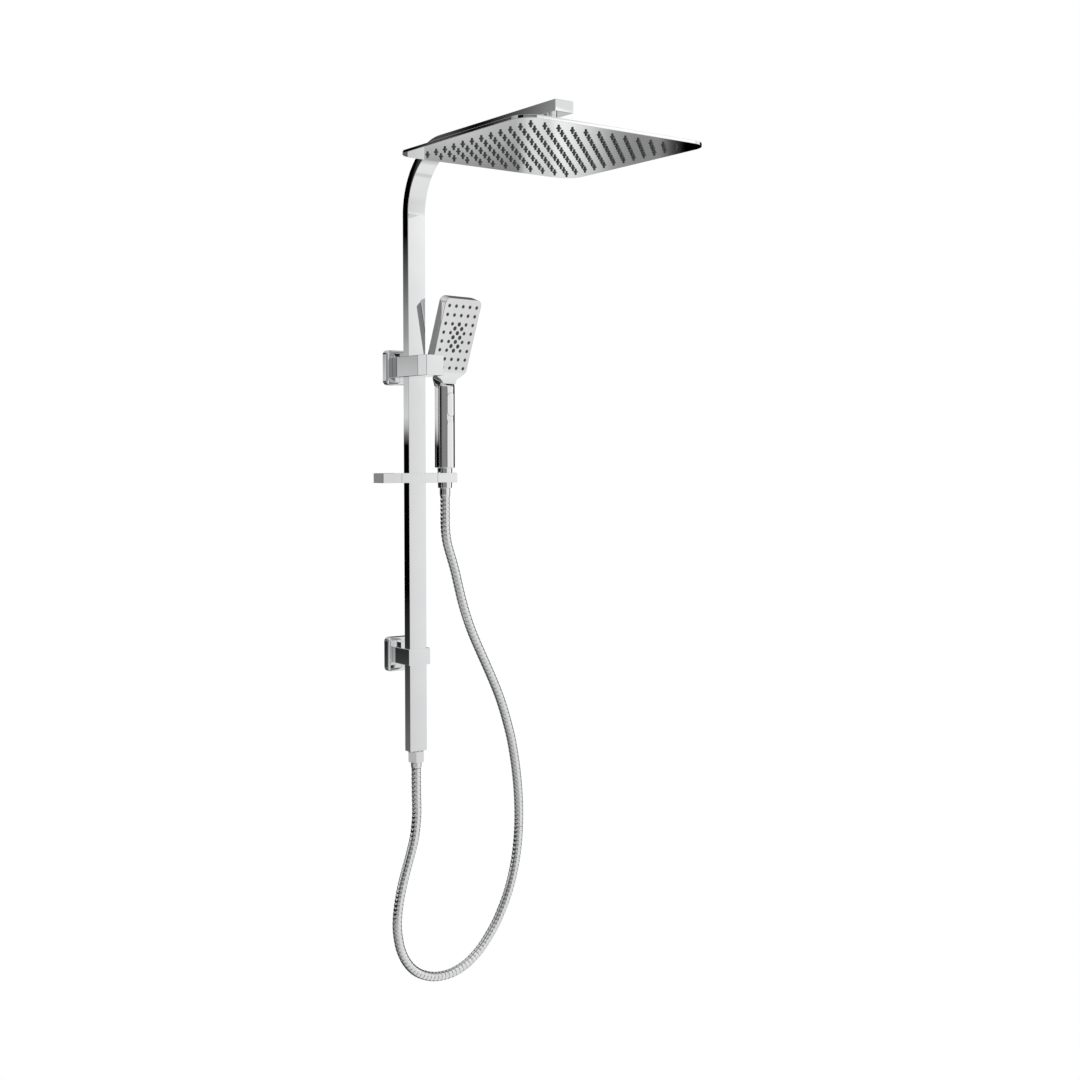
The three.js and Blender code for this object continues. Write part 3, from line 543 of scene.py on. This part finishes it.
# ---------------------------------------------------------------- hose
rail_low, rail_high = box_mm("rail_tube")
RAIL_X = (rail_low[0] + rail_high[0]) / 2
RAIL_Y = (rail_low[1] + rail_high[1]) / 2
RAIL_W = rail_high[0] - rail_low[0]
RAIL_D = rail_high[1] - rail_low[1]
HAND_X = centre_mm("hose_conical_nut")[0]
UPPER_FERRULE = box_mm("hose_upper_ferrule")
LOWER_FERRULE = box_mm("hose_lower_ferrule")
HOSE_ROUTE = [                  # (x from the rail's middle, z), as in the frame's own source
    (0, LOWER_FERRULE[0][2] - GAP), (0, -190), (0.2, -214), (0.6, -243), (-0.6, -260),
    (-3.5, -280), (-9, -300), (-15.8, -321), (-22.4, -341), (-28, -361), (-32.6, -383),
    (-35.2, -404), (-35.3, -421), (-33.3, -436), (-30.2, -450), (-25.2, -463), (-17.4, -476.5),
    (-7.4, -488), (3.6, -496.4), (14.8, -502), (25.4, -505.8), (36, -508), (47.7, -508.8),
    (60, -508.4), (72, -506), (84.6, -502), (97, -496), (108.6, -488), (119.3, -479.3),
    (129.4, -468.7), (139.6, -456.2), (150, -442), (159.8, -424.7), (169, -406.4),
    (182, -370.4), (190.6, -330), (194.3, -287), (193.6, -243), (189.2, -200), (180.1, -150),
    (173.2, -125.5), (165.2, -100.6), (155.6, -75.3), (143.9, -50), (131.2, -24.4), (118, 1.5),
    (105.4, 27), (94.6, 53), (85.6, 79.5), (78.4, 105.5), (71.7, 130.5), (64.2, 153),
    (58, 172.3), (55.2, 190), (HAND_X, 206), (HAND_X, 220), (HAND_X, 271),
]
HOSE_PITCH = 6.8
HOSE_WIDTH = 13.5
HOSE_SIDES = 24
HOSE_BAND = [                   # (distance along one band, radius): a narrow groove, then the band
    (0, 6.3), (0.35, 6.5), (0.7, 7.0), (1.1, 7.18), (3.4, 7.22), (5.7, 7.18), (6.1, 7.0),
    (6.45, 6.5),
]
ROUTE_STEP = 0.4                # the route is cut this fine before it is smoothed
SMOOTHINGS = 200
ROUTE_SPACING = 0.25
SEAM_Z = -287                   # the two lengths of hose meet here, on the right branch


def smooth_route(points, spacing):
    """Points close together on a centripetal Catmull-Rom curve, all nearly spacing apart."""
    flat = [Vector((x, 0, z)) for x, z in points]
    flat = [2 * flat[0] - flat[1]] + flat + [2 * flat[-1] - flat[-2]]
    fine = []
    for i in range(1, len(flat) - 2):
        p0, p1, p2, p3 = flat[i - 1:i + 3]
        t0 = 0.0
        t1 = t0 + math.sqrt((p1 - p0).length)
        t2 = t1 + math.sqrt((p2 - p1).length)
        t3 = t2 + math.sqrt((p3 - p2).length)
        steps = max(4, int((p2 - p1).length / ROUTE_STEP))
        for s in range(steps):
            t = t1 + (t2 - t1) * s / steps
            a1 = p0.lerp(p1, (t - t0) / (t1 - t0))
            a2 = p1.lerp(p2, (t - t1) / (t2 - t1))
            a3 = p2.lerp(p3, (t - t2) / (t3 - t2))
            b1 = a1.lerp(a2, (t - t0) / (t2 - t0))
            b2 = a2.lerp(a3, (t - t1) / (t3 - t1))
            fine.append(b1.lerp(b2, (t - t1) / (t2 - t1)))
    fine.append(flat[-2])
    for _ in range(SMOOTHINGS):
        middle = [(fine[i - 1] + 2 * fine[i] + fine[i + 1]) / 4 for i in range(1, len(fine) - 1)]
        fine = [fine[0], *middle, fine[-1]]
    even, walked, goal = [fine[0]], 0.0, spacing
    for a, b in zip(fine, fine[1:]):
        step = (b - a).length
        while walked + step >= goal:
            even.append(a.lerp(b, (goal - walked) / step))
            goal += spacing
        walked += step
    return even


def hose_stations():
    """[(point, direction, radius), ...] down the hose, one for each turn of the band's profile."""
    line = smooth_route(HOSE_ROUTE, ROUTE_SPACING)
    stations = []
    for band in range(int((len(line) - 2) * ROUTE_SPACING / HOSE_PITCH)):
        for along, radius in HOSE_BAND:
            at = (band * HOSE_PITCH + along) / ROUTE_SPACING
            low = int(at)
            point = line[low].lerp(line[low + 1], at - low)
            stations.append((point, (line[low + 1] - line[low]).normalized(), radius))
    return stations


def hose_length(name, stations):
    """One length of hose, with its centre line and how long that is, both in metres."""
    centre = Vector((RAIL_X, RAIL_Y, 0))
    rings = []
    for point, along, radius in stations:
        side = Vector((along.z, 0, -along.x))
        rings.append([centre + point + side * x + Vector((0, y, 0))
                      for x, y in circle(radius, HOSE_SIDES)])
    obj = loft(name, rings)
    finish_mesh(obj, HOSE, 80)
    points = [station[0] for station in stations]
    length = sum((b - a).length for a, b in zip(points, points[1:])) * MM
    return obj, [tuple((point + centre) * MM) for point in points], length


def make_hose():
    stations = hose_stations()
    seam = max(i for i, (point, _, _) in enumerate(stations)
               if point.z <= SEAM_Z and point.x > 0 and i % len(HOSE_BAND) == 0)
    loop = hose_length("shower_hose", stations[:seam + 1])
    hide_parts("hose")
    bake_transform(loop[0])
    top = hose_length("shower_hose_top", stations[seam:])
    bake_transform(top[0])
    return loop, top


FERRULE_BORE = 7.15
NUT_BORE = 9.7


def hose_ends():
    """The hexagonal nut at the rail's foot, the conical nut at the hand shower, both ferrules."""
    low, high = box_mm("hose_hex_nut")
    across = (high[1] - low[1]) / 2
    hexagon = circle(across / math.cos(math.pi / 6), 6)
    axis = move(RAIL_X, RAIL_Y, 0)
    nut = loft("hex_nut", [[(x, y, z) for x, y in hexagon] for z in (low[2], high[2])], axis)
    chamfer = lathe("chamfer", [
        (0, low[2]), (across - 0.5, low[2]), (across + 2.4, low[2] + 1.7),
        (across + 2.4, high[2] - 1.7), (across - 0.5, high[2]), (0, high[2]),
    ], 72, axis)
    boolean(nut, chamfer, "INTERSECT")
    cut(nut, rod("bore", NUT_BORE, high[2] - 9, high[2] + 1, 64, axis),
        rod("throat", 7.1, low[2] - 1, high[2], 64, axis))
    ease(nut, 0.35, 24)
    piece(nut, "root", CHROME, ["hose_hex_nut"])

    foot, top = LOWER_FERRULE[0][2], LOWER_FERRULE[1][2]
    radius = (LOWER_FERRULE[1][0] - LOWER_FERRULE[0][0]) / 2
    lower = lathe("lower_hose_ferrule", [
        (FERRULE_BORE, foot), (7.6, foot), (radius - 0.25, foot + 0.9), (radius, foot + 2.2),
        (radius, top - 1.6), (radius - 0.4, top - 1.2), (radius - 0.4, top - 0.7),
        (radius, top - 0.4), (radius - 0.2, top), (FERRULE_BORE, top),
    ], 72, axis)
    piece(lower, "root", CHROME, ["hose_lower_ferrule"])

    axis = move(HAND_X, RAIL_Y, 0)
    low, high = box_mm("hose_conical_nut")
    head = (high[0] - low[0]) / 2
    tail = head - 0.6
    nut = lathe("conical_nut", [
        (NUT_BORE, high[2]), (head - 0.4, high[2]), (head, high[2] - 0.5),
        (head - 0.02, high[2] - 1.5), (tail, low[2] + 0.7), (tail - 0.25, low[2] + 0.2),
        (tail - 0.7, low[2]), (7.2, low[2]), (7.2, high[2] - 17), (NUT_BORE, high[2] - 17),
    ], 96, axis)
    piece(nut, "handset", CHROME, ["hose_conical_nut"])
    foot, top = UPPER_FERRULE[0][2], UPPER_FERRULE[1][2]
    ferrule = lathe("upper_hose_ferrule", [
        (FERRULE_BORE, foot), (7.55, foot), (radius - 0.35, foot + 1.2), (radius, foot + 3.0),
        (radius, top - 1.5), (radius - 0.35, top - 1.1), (radius - 0.35, top - 0.7),
        (radius, top - 0.4), (radius - 0.2, top), (FERRULE_BORE, top),
    ], 72, axis)
    piece(ferrule, "handset", CHROME, ["hose_upper_ferrule"])


hose_loop, hose_top = make_hose()
hose_ends()


# ---------------------------------------------------------------- wall brackets and diverter
FLANGE_RIM = [                  # (inset, drop) from the flange's side over to its front
    (0, 2.8), (0.12, 2.1), (0.45, 1.5), (1.1, 0.95), (2.2, 0.5), (3.6, 0.18), (5.2, 0),
]
SOCKET_FLOOR = 8.8              # from the diverter's middle to the floor of each tube socket
KNOB_DRAFT = 0.5                # the knob is this much narrower in front, on each side
KNOB_EDGE = 0.8


def bore_at(z):
    """Places a drill's axis so that it runs out of the wall at this height."""
    return move(0, 0, z) @ OUT_OF_WALL


def wall_flange(name, node, hole):
    low, high = box_mm(node)
    size, depth = high[0] - low[0], high[1] - low[1]
    place = move((low[0] + high[0]) / 2, 0, (low[2] + high[2]) / 2) @ OUT_OF_WALL
    outline = inset_rect(size, size, 6.5, 8, 1.5)
    rim = [(0, depth)] + FLANGE_RIM
    cover = loft(name, [[(x, y, depth - drop) for x, y in outline(inset)] for inset, drop in rim],
                 place)
    hollow = slab("hollow", lambda inset: outline(inset + 2.5), -1, depth - 5.5, place=place)
    deep = slab("deep", lambda inset: outline(inset + 8.5), -1, depth - 2, place=place)
    cut(cover, boolean(hollow, deep, "UNION"), rod("hole", hole, 0, depth + 1, 48, place))
    piece(cover, "root", CHROME, [node])


def tube_socket(z0, z1):
    return slab("socket", inset_rect(RAIL_W + 2 * GAP, RAIL_D + 2 * GAP, 1.4), z0, z1,
                place=move(RAIL_X, RAIL_Y, 0))


def diverter_block():
    low, high = box_mm("diverter_body")
    middle = (low[2] + high[2]) / 2
    block = out_block("diverter_block", "diverter_body", 1.0, 0.5, 0.3)
    cut(block, tube_socket(middle + SOCKET_FLOOR, high[2] + 1),
        tube_socket(low[2] - 1, middle - SOCKET_FLOOR),
        lathe("cartridge_bore", [(0, 32), (8.5, 32), (8.5, 72), (10.6, 72), (10.6, 90), (0, 90)],
              64, bore_at(middle)),
        lathe("inlet_bore", [(0, 5), (10.6, 5), (10.6, 28), (5, 28), (5, 34), (0, 34)],
              48, bore_at(middle)))
    piece(block, "root", CHROME, ["diverter_body"])


def diverter_knob():
    low, high = box_mm("diverter_knob")
    size, depth = high[0] - low[0], high[1] - low[1]
    place = move((low[0] + high[0]) / 2, high[1], (low[2] + high[2]) / 2) @ OUT_OF_WALL
    outline = inset_rect(size, size, 1.0, 6, 0.3)
    rings = [(0.25, 0.0), (0.0, 0.3), (KNOB_DRAFT, depth - KNOB_EDGE)]
    rings += [(KNOB_DRAFT + KNOB_EDGE * (1 - math.cos(a)), depth - KNOB_EDGE * (1 - math.sin(a)))
              for a in (math.pi / 8, math.pi / 4, 3 * math.pi / 8, math.pi / 2)]
    knob = loft("square_knob", [[(x, y, z) for x, y in outline(inset)] for inset, z in rings],
                place)
    cut(knob, slab("pocket", lambda inset: outline(inset + 2.5), -1, depth - 3.5, place=place))
    boss = lathe("boss", [(4.3, 1), (7.5, 1), (7.5, depth - 3), (4.3, depth - 3)], 48, place)
    boolean(knob, boss, "UNION")
    piece(knob, "knob", CHROME, ["diverter_knob"])


def lower_bracket():
    low, high = box_mm("lower_bracket_arm")
    middle = (low[2] + high[2]) / 2
    block = out_block("collar_bracket", "lower_bracket_arm", 1.0, 0.6, 0.3)
    cut(block, tube_socket(low[2] - 1, high[2] + 1),
        rod("spigot_bore", 7.3, 5, 30, 48, bore_at(middle)),
        rod("grub_hole", 2.8, low[2] - 1, 0, 32, move(0, -22, 0)))
    piece(block, "root", CHROME, ["lower_bracket_arm"])


wall_flange("upper_flange", "upper_wall_flange", 10.9)
wall_flange("lower_flange", "lower_wall_flange", 7.6)
diverter_block()
diverter_knob()
lower_bracket()


# ---------------------------------------------------------------- rail, bend and arm
TUBE_WALL = 1.5
TUBE_CORNER = 0.6
BORE_CORNER = 0.5
CORNER_STEPS = 4
BEND_RADIUS = 95.25             # at the middle of the tube
BEND_STEPS = 40


def tube_rings(inset, corner):
    """Rings of the riser's section up the straight, round the bend and out along the arm."""
    low, high = box_mm("riser_and_arm_tube")
    arm_z = high[2] - RAIL_D / 2
    section = rounded_rect(RAIL_W - 2 * inset, RAIL_D - 2 * inset, corner, CORNER_STEPS)
    bend = BEND_RADIUS
    rings = []

    def ring(place_y, place_z, angle):
        out, up = math.sin(angle), math.cos(angle)
        return [(RAIL_X + x, place_y + y * up, place_z + y * out) for x, y in section]

    for i in range(6):
        rings.append(ring(RAIL_Y, low[2] + (arm_z - bend - low[2]) * i / 6, 0))
    for i in range(BEND_STEPS + 1):
        a = math.pi / 2 * i / BEND_STEPS
        rings.append(ring(RAIL_Y - bend * (1 - math.cos(a)), arm_z - bend * (1 - math.sin(a)), a))
    for i in range(1, 7):
        rings.append(ring(RAIL_Y - bend + (low[1] - RAIL_Y + bend) * i / 6, arm_z, math.pi / 2))
    return rings


def hollow_tube(name, outer, inner):
    """A tube with open ends, from matching rings outside and inside."""
    count, rows = len(outer[0]), len(outer)
    verts = [Vector(p) for ring in outer + inner for p in ring]
    shift = rows * count
    faces = []
    for r in range(rows - 1):
        for i in range(count):
            j = (i + 1) % count
            a, b = r * count, (r + 1) * count
            faces.append((a + i, a + j, b + j, b + i))
            faces.append((shift + a + j, shift + a + i, shift + b + i, shift + b + j))
    for i in range(count):
        j = (i + 1) % count
        last = (rows - 1) * count
        faces.append((i, shift + i, shift + j, j))
        faces.append((last + j, shift + last + j, shift + last + i, last + i))
    return link_mesh(name, verts, faces)


def riser_and_arm():
    tube = hollow_tube("riser_arm", tube_rings(0, TUBE_CORNER), tube_rings(TUBE_WALL, BORE_CORNER))
    head = centre_mm("arm_ball_nipple")
    top = box_mm("riser_and_arm_tube")[1][2]
    cut(tube, rod("outlet", 9.5, -20, -2, 48, move(head[0], head[1], top)))
    piece(tube, "root", CHROME, ["riser_and_arm_tube"], 50)


def slide_rail():
    low, high = box_mm("rail_tube")
    levels = [low[2], low[2] + 0.3]
    levels += [low[2] + (high[2] - low[2]) * i / 12 for i in range(1, 13)]

    def rings(inset, corner):
        made = []
        for i, z in enumerate(levels):
            pull = inset + (0.3 if i == 0 and inset == 0 else 0)
            outline = rounded_rect(RAIL_W - 2 * pull, RAIL_D - 2 * pull, corner, CORNER_STEPS)
            made.append([(RAIL_X + x, RAIL_Y + y, z) for x, y in outline])
        return made

    rail = hollow_tube("slide_rail", rings(0, TUBE_CORNER), rings(TUBE_WALL, BORE_CORNER))
    piece(rail, "root", CHROME, ["rail_tube"], 50)


def arm_cap():
    low, high = box_mm("arm_end_cap")
    place = move(RAIL_X, low[1], (low[2] + high[2]) / 2) @ OUT_OF_WALL
    cap = slab("arm_cap", inset_rect(RAIL_W, RAIL_D, TUBE_CORNER, CORNER_STEPS), -2.5, 0, 0, 0.6,
               place)
    tongue = slab("tongue", inset_rect(RAIL_W - 3.6, RAIL_D - 3.6, 0.6, CORNER_STEPS), -10, -1.2,
                  place=place)
    boolean(cap, tongue, "UNION")
    piece(cap, "root", CHROME, ["arm_end_cap"])


riser_and_arm()
slide_rail()
arm_cap()


# ---------------------------------------------------------------- slider
PIN_HOLE = 4.3
END_EDGE = 0.7                  # rounding of the bar's two ends
JOINT_EDGE = 0.25               # and of the faces where its parts meet
TAPER = (10.7, 12.1)            # radius of the cradle's cone 30 below and 30 above its middle


def bar_part(name, node, left_edge, right_edge):
    low, high = box_mm(node)
    depth, height = high[1] - low[1], high[2] - low[2]
    place = move(0, (low[1] + high[1]) / 2, (low[2] + high[2]) / 2) @ ALONG_X
    return slab(name, inset_rect(depth, height, 0.8, 4), low[0], high[0], left_edge, right_edge,
                place)


def pin_hole(x0, x1, z):
    return rod("pin_hole", PIN_HOLE, x0, x1, 40, move(0, RAIL_Y, z) @ ALONG_X)


def slider():
    low, high = box_mm("slider_body")
    z = (low[2] + high[2]) / 2
    body = bar_part("slider_bar", "slider_body", JOINT_EDGE, JOINT_EDGE)
    cut(body, tube_socket(low[2] - 1, high[2] + 1), pin_hole(low[0] - 1, -RAIL_W / 2, z),
        pin_hole(high[0] - 10, high[0] + 1, z))
    piece(body, "slider", CHROME, ["slider_body"])
    low, high = box_mm("lock_grip")
    grip = bar_part("grip_block", "lock_grip", END_EDGE, JOINT_EDGE)
    cut(grip, pin_hole(low[0] + 12, high[0] + 1, z))
    piece(grip, "grip", CHROME, ["lock_grip"])
    low, high = box_mm("cradle")
    holder = bar_part("cradle_block", "cradle", JOINT_EDGE, END_EDGE)
    taper = lathe("taper", [(0, z - 30), (TAPER[0], z - 30), (TAPER[1], z + 30), (0, z + 30)], 96,
                  move(HAND_X, RAIL_Y, 0))
    slot = slab("slot", inset_rect(HOSE_WIDTH + 1.6, 40, 1), HAND_X, high[0] + 5,
                place=move(0, RAIL_Y, z) @ ALONG_X)
    cut(holder, taper, slot, pin_hole(low[0] - 1, low[0] + 8, z))
    piece(holder, "cradle", CHROME, ["cradle"])


slider()


# ---------------------------------------------------------------- hand shower
HANDLE_Z = box_mm("hose_conical_nut")[1][2] + GAP
HANDLE_R = 15.5
LIP_HEIGHT = 131.5              # foot of the spray face over the handle's foot
LIP_REACH = 3.9                 # and how far its plane is in front of the handle's axis there
FACE_LENGTH = 131
FACE_HALF = 36.3
FACE_CORNER = 9
NECK_LENGTH = 22                # the face is flat above this, and swells forward below it
NECK_SWELL = 8.1
PLATE = 4.5
HEAD_THICK = 17
BUTTON_Z = 97
BUTTON = (13, 36)
HANDLE_TURN = 8.5               # the hand shower is turned to the right by these degrees
FACE_TILT = 19.3                # and its head leans forward over the handle by these
HAND = move(HAND_X, RAIL_Y, HANDLE_Z) @ Matrix.Rotation(math.radians(HANDLE_TURN), 4, "Z")
FACE = (HAND @ move(0, -LIP_REACH, LIP_HEIGHT)
        @ Matrix.Rotation(math.radians(FACE_TILT), 4, "X") @ OUT_OF_WALL)
SHOULDER = [                    # (height up the face, half its width there)
    (0, 13.4), (2, 13.7), (6, 17.2), (10, 25.5), (14.5, 33), (18, 35.6), (22, FACE_HALF),
]
NOZZLE_PITCH = 13.8
TOP_ROW = 119.4
SMALL_NOZZLE = 2.6
LARGE_NOZZLE = 3.2


def half_width(up):
    """Half the head's width at a height up the face: neck, shoulders, then round top corners."""
    corner = up - (FACE_LENGTH - FACE_CORNER)
    if corner > 0:
        return FACE_HALF - FACE_CORNER + math.sqrt(max(FACE_CORNER ** 2 - corner ** 2, 0))
    if up >= NECK_LENGTH:
        return FACE_HALF
    i = max(k for k, (height, _) in enumerate(SHOULDER) if height <= up)
    slopes = [0.0]
    for (h0, w0), (h1, w1), (h2, w2) in zip(SHOULDER, SHOULDER[1:], SHOULDER[2:]):
        slopes.append((w2 - w0) / (h2 - h0))
    slopes.append(0.0)
    (h0, w0), (h1, w1) = SHOULDER[i], SHOULDER[i + 1]
    step = h1 - h0
    t = (up - h0) / step
    return (w0 * (2 * t ** 3 - 3 * t * t + 1) + w1 * (3 * t * t - 2 * t ** 3)
            + slopes[i] * step * (t ** 3 - 2 * t * t + t) + slopes[i + 1] * step * (t ** 3 - t * t))


def left_of_neck(up):
    return 1 - min(up / NECK_LENGTH, 1)


def swell(up):
    return NECK_SWELL * left_of_neck(up) ** 2


def slab_back(up):
    return -HEAD_THICK - 3 * left_of_neck(up)


def section(half, back, front, back_corner, front_corner, steps=6):
    """One slice as [(across, out), ...]: rounded corners of one radius in front, another behind."""
    points = []
    for quarter, corner in enumerate((front_corner, front_corner, back_corner, back_corner)):
        cx = (half - corner) * (1 if quarter in (0, 3) else -1)
        cy = front - corner if quarter in (0, 1) else back + corner
        for i in range(steps + 1):
            a = math.pi / 2 * (quarter + i / steps)
            points.append((cx + corner * math.cos(a), cy + corner * math.sin(a)))
    return points[::-1]


def head_rings(back, front, back_corner, front_corner, rim):
    """Slices of the head from its foot to its top, where the front edge is rounded by rim."""
    ups = [i * 0.9 for i in range(25)] + [24, 40, 60, 80, 100]
    corner = [FACE_LENGTH - FACE_CORNER * (1 - math.sin(math.pi / 2 * i / 12)) for i in range(13)]
    rings = []
    for up in ups + corner:
        ease_off = max(up - (FACE_LENGTH - rim), 0)
        drop = rim - math.sqrt(max(rim ** 2 - ease_off ** 2, 0))
        outline = section(half_width(up), back(up), front(up) - drop, back_corner, front_corner)
        rings.append([FACE @ Vector((x, up, out)) for x, out in outline])
    return rings


def nozzle_places():
    """[(across, up, radius), ...] of the spray holes: five columns of eight, an inner cluster."""
    places = []
    for row in range(8):
        for column in range(-2, 3):
            radius = LARGE_NOZZLE if column == 0 and 2 <= row <= 5 else SMALL_NOZZLE
            places.append((column * NOZZLE_PITCH, TOP_ROW - row * NOZZLE_PITCH, radius))
    for row in (2, 3, 4):
        for side in (-0.5, 0.5):
            places.append((side * NOZZLE_PITCH, TOP_ROW - (row + 0.5) * NOZZLE_PITCH,
                           LARGE_NOZZLE))
    return places


def joined(name, parts):
    """One mesh from several objects, which are removed."""
    mesh = bmesh.new()
    for part in parts:
        mesh.from_mesh(part.data)
        bpy.data.objects.remove(part)
    data = bpy.data.meshes.new(name)
    mesh.to_mesh(data)
    mesh.free()
    obj = bpy.data.objects.new(name, data)
    scene.collection.objects.link(obj)
    return obj


def button_prism(name, slack, z0, z1):
    width, height = BUTTON
    return slab(name, inset_rect(width + 2 * slack, height + 2 * slack, 6 + slack, 10), z0, z1,
                place=HAND @ move(0, 0, BUTTON_Z) @ OUT_OF_WALL)


def round_ring(z, radius):
    """A round slice of the handle, with the same number of points as a slice of the head."""
    return [HAND @ Vector((x, -out, z))
            for x, out in section(radius, -radius, radius, radius, radius)]


def handset_shell():
    foot = [round_ring(0, HANDLE_R - 0.8), round_ring(0.2, HANDLE_R - 0.3)]
    straight = [round_ring(z, HANDLE_R) for z in (0.8, 30, 60, 90, 110)]
    neck = round_ring(LIP_HEIGHT - 7, HANDLE_R)
    head = head_rings(slab_back, lambda up: swell(up) - PLATE - 0.12, 3, 0.3, 0.2)
    between = [[a.lerp(b, i / 8) for a, b in zip(neck, head[0])] for i in range(1, 8)]
    shell = loft("handset_shell", foot + straight + [neck] + between + head)
    boolean(shell, rod("spout", 9.4, -12, 1, 64, HAND), "UNION")
    hollow = slab("hollow", inset_rect(2 * FACE_HALF - 6, 98, 6), -HEAD_THICK + 3, 0,
                  place=FACE @ move(0, 76, 0))
    bore = lathe("bore", [(0, -13), (5, -13), (5, 12), (10, 12), (10, 115.5), (0, 115.5)], 48,
                 HAND)
    cut(shell, hollow, bore, button_prism("well", 0.35, 8, 20))
    piece(shell, "handset", PLASTIC, ["handset_body"], 30)


def spray_face():
    plate = loft("spray_face", head_rings(lambda up: swell(up) - PLATE, swell, 0.3, 1.2, 1.2))
    holes = [rod("hole", r + 0.25, -1.6, 1, 20, FACE @ move(x, y, 0))
             for x, y, r in nozzle_places()]
    cut(plate, joined("holes", holes))
    piece(plate, "handset", PLASTIC, ["spray_plate"], 30)

    nubs = []
    for x, y, r in nozzle_places():
        nubs.append(lathe("nub", [
            (0, -1.62), (r + 0.2, -1.62), (r + 0.2, -0.3), (r - 0.1, 0.1), (r - 0.6, 0.25),
            (0.7, 0.2), (0.55, -0.5), (0, -0.6),
        ], 20, FACE @ move(x, y, 0)))
    mat = slab("mat", inset_rect(2 * FACE_HALF - 8, 96, 5), -PLATE - 1.9, -PLATE - 0.5,
               place=FACE @ move(0, 76, 0))
    piece(joined("spray_nozzles", nubs + [mat]), "handset", SILICONE,
          ["spray_nozzle_mat"], 40)


def push_button():
    button = button_prism("button_cap", 0, 12.2, 20)
    boolean(button, rod("limit", HANDLE_R + 0.25, 0, LIP_HEIGHT, 96, HAND), "INTERSECT")
    piece(button, "button", PLASTIC, ["push_button"])


handset_shell()
spray_face()
push_button()


# ---------------------------------------------------------------- rain head
HEAD_CORNER = 28
RAIN_ROWS = 12
RAIN_PITCH = 21.4
BALL_Z = 732
BALL_R = 9.5


def rain_plates():
    low, high = box_mm("rain_head_face")
    shell_low, shell_high = box_mm("rain_head_shell")
    size = high[0] - low[0]
    x, y, _ = centre_mm("rain_head_face")
    place = move(x, y, 0)
    outline = inset_rect(size, size, HEAD_CORNER, 16)
    face = slab("rain_face", outline, low[2], high[2], 0.35, 0, place)
    piece(face, "rain_head", STEEL, ["rain_head_face"], 50)
    shell = slab("rain_shell", outline, high[2] + 0.05, shell_high[2], 0, 0.4, place, 6)
    hollow = slab("hollow", lambda inset: outline(1.2), shell_low[2] - 1, shell_high[2] - 0.8,
                  place=place)
    cut(shell, hollow, rod("hole", 4.5, shell_high[2] - 3, shell_high[2] + 2, 48, place))
    piece(shell, "rain_head", STEEL, ["rain_head_shell"], 50)

    nozzles = []
    places = [(i - (RAIN_ROWS - 1) / 2) * RAIN_PITCH for i in range(RAIN_ROWS)]
    for across in places:
        for out in places:
            nozzles.append(lathe("nozzle", [
                (0, -3.6), (0.5, -3.6), (0.6, -4.3), (1.3, -4.3), (1.55, -4.0), (1.75, -1.0),
                (2.9, -0.8), (3.25, -0.5), (3.25, 0.1), (0, 0.1),
            ], 16, move(x + across, y + out, low[2])))
    mat_low, mat_high = box_mm("rain_nozzle_mat")
    mat = slab("mat", lambda inset: outline(1.6), mat_low[2], mat_high[2], place=place)
    piece(joined("rain_nozzles", nozzles + [mat]), "rain_head", NOZZLE,
          ["rain_nozzle_mat"], 40)


def head_neck():
    """The ball nipple under the arm, with the nut and the socket that swivel round its ball."""
    top = box_mm("arm_ball_nipple")[1][2]
    x, y, _ = centre_mm("rain_head_face")
    axis = move(x, y, 0)
    globe = [(BALL_R * math.cos(a), BALL_Z + BALL_R * math.sin(a))
             for a in [math.radians(t) for t in range(-64, 51, 6)]]
    nipple = lathe("ball_nipple", [
        (4, globe[0][1]), *globe, (6, 745.3), (6.6, 746), (9.0, 747), (9.2, 747.4), (9.2, top),
        (4, top),
    ], 72, axis)
    piece(nipple, "root", CHROME, ["arm_ball_nipple"], 40)
    low, high = box_mm("swivel_nut")
    radius = (high[0] - low[0]) / 2
    nut = lathe("ball_nut", [
        (11.4, low[2]), (radius - 0.5, low[2]), (radius, low[2] + 0.5), (radius, high[2] - 7),
        (radius - 0.4, high[2] - 6.6), (radius - 0.4, high[2] - 6.2), (radius, high[2] - 5.8),
        (radius, high[2] - 1.6), (radius - 0.3, high[2] - 0.7), (radius - 1.1, high[2]),
        (9.6, high[2]), (8.9, high[2] - 4.1), (11.4, high[2] - 6.5),
    ], 72, axis)
    piece(nut, "rain_head", CHROME, ["swivel_nut"], 40)
    low, high = box_mm("head_socket")
    radius = (high[0] - low[0]) / 2
    socket = lathe("neck_socket", [
        (4.5, low[2]), (radius - 0.2, low[2]), (radius, low[2] + 0.3), (radius, 719.6),
        (radius - 0.9, 720.8), (11.2, 722), (11.1, high[2]), (9.4, high[2]), (9.4, 721.6),
        (4.5, 719),
    ], 72, axis)
    piece(socket, "rain_head", CHROME, ["head_socket"], 40)


rain_plates()
head_neck()


# ---------------------------------------------------------------- carried-over frame nodes
KEPT = {
    CHROME: ["rail_outlet"],
    ZINC: ["upper_fixing_plate", "lower_fixing_plate", "upper_wall_screw_left",
           "upper_wall_screw_right", "lower_wall_screw_left", "lower_wall_screw_right",
           "bracket_grub_screw", "button_spring_cup"],
    BRASS: ["inlet_nipple", "diverter_cartridge", "cartridge_nut", "diverter_spindle",
            "hose_lower_insert", "hose_upper_insert", "clamp_spindle", "cradle_pivot_pin"],
    RUBBER: ["riser_gasket", "rail_gasket", "outlet_washer", "handset_washer"],
    NYLON: ["brake_pad", "flow_tube", "selector_valve", "ball_seat_ring"],
}
for finish, names in KEPT.items():
    for name in names:
        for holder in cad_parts[name].material_slots:
            holder.material = finish
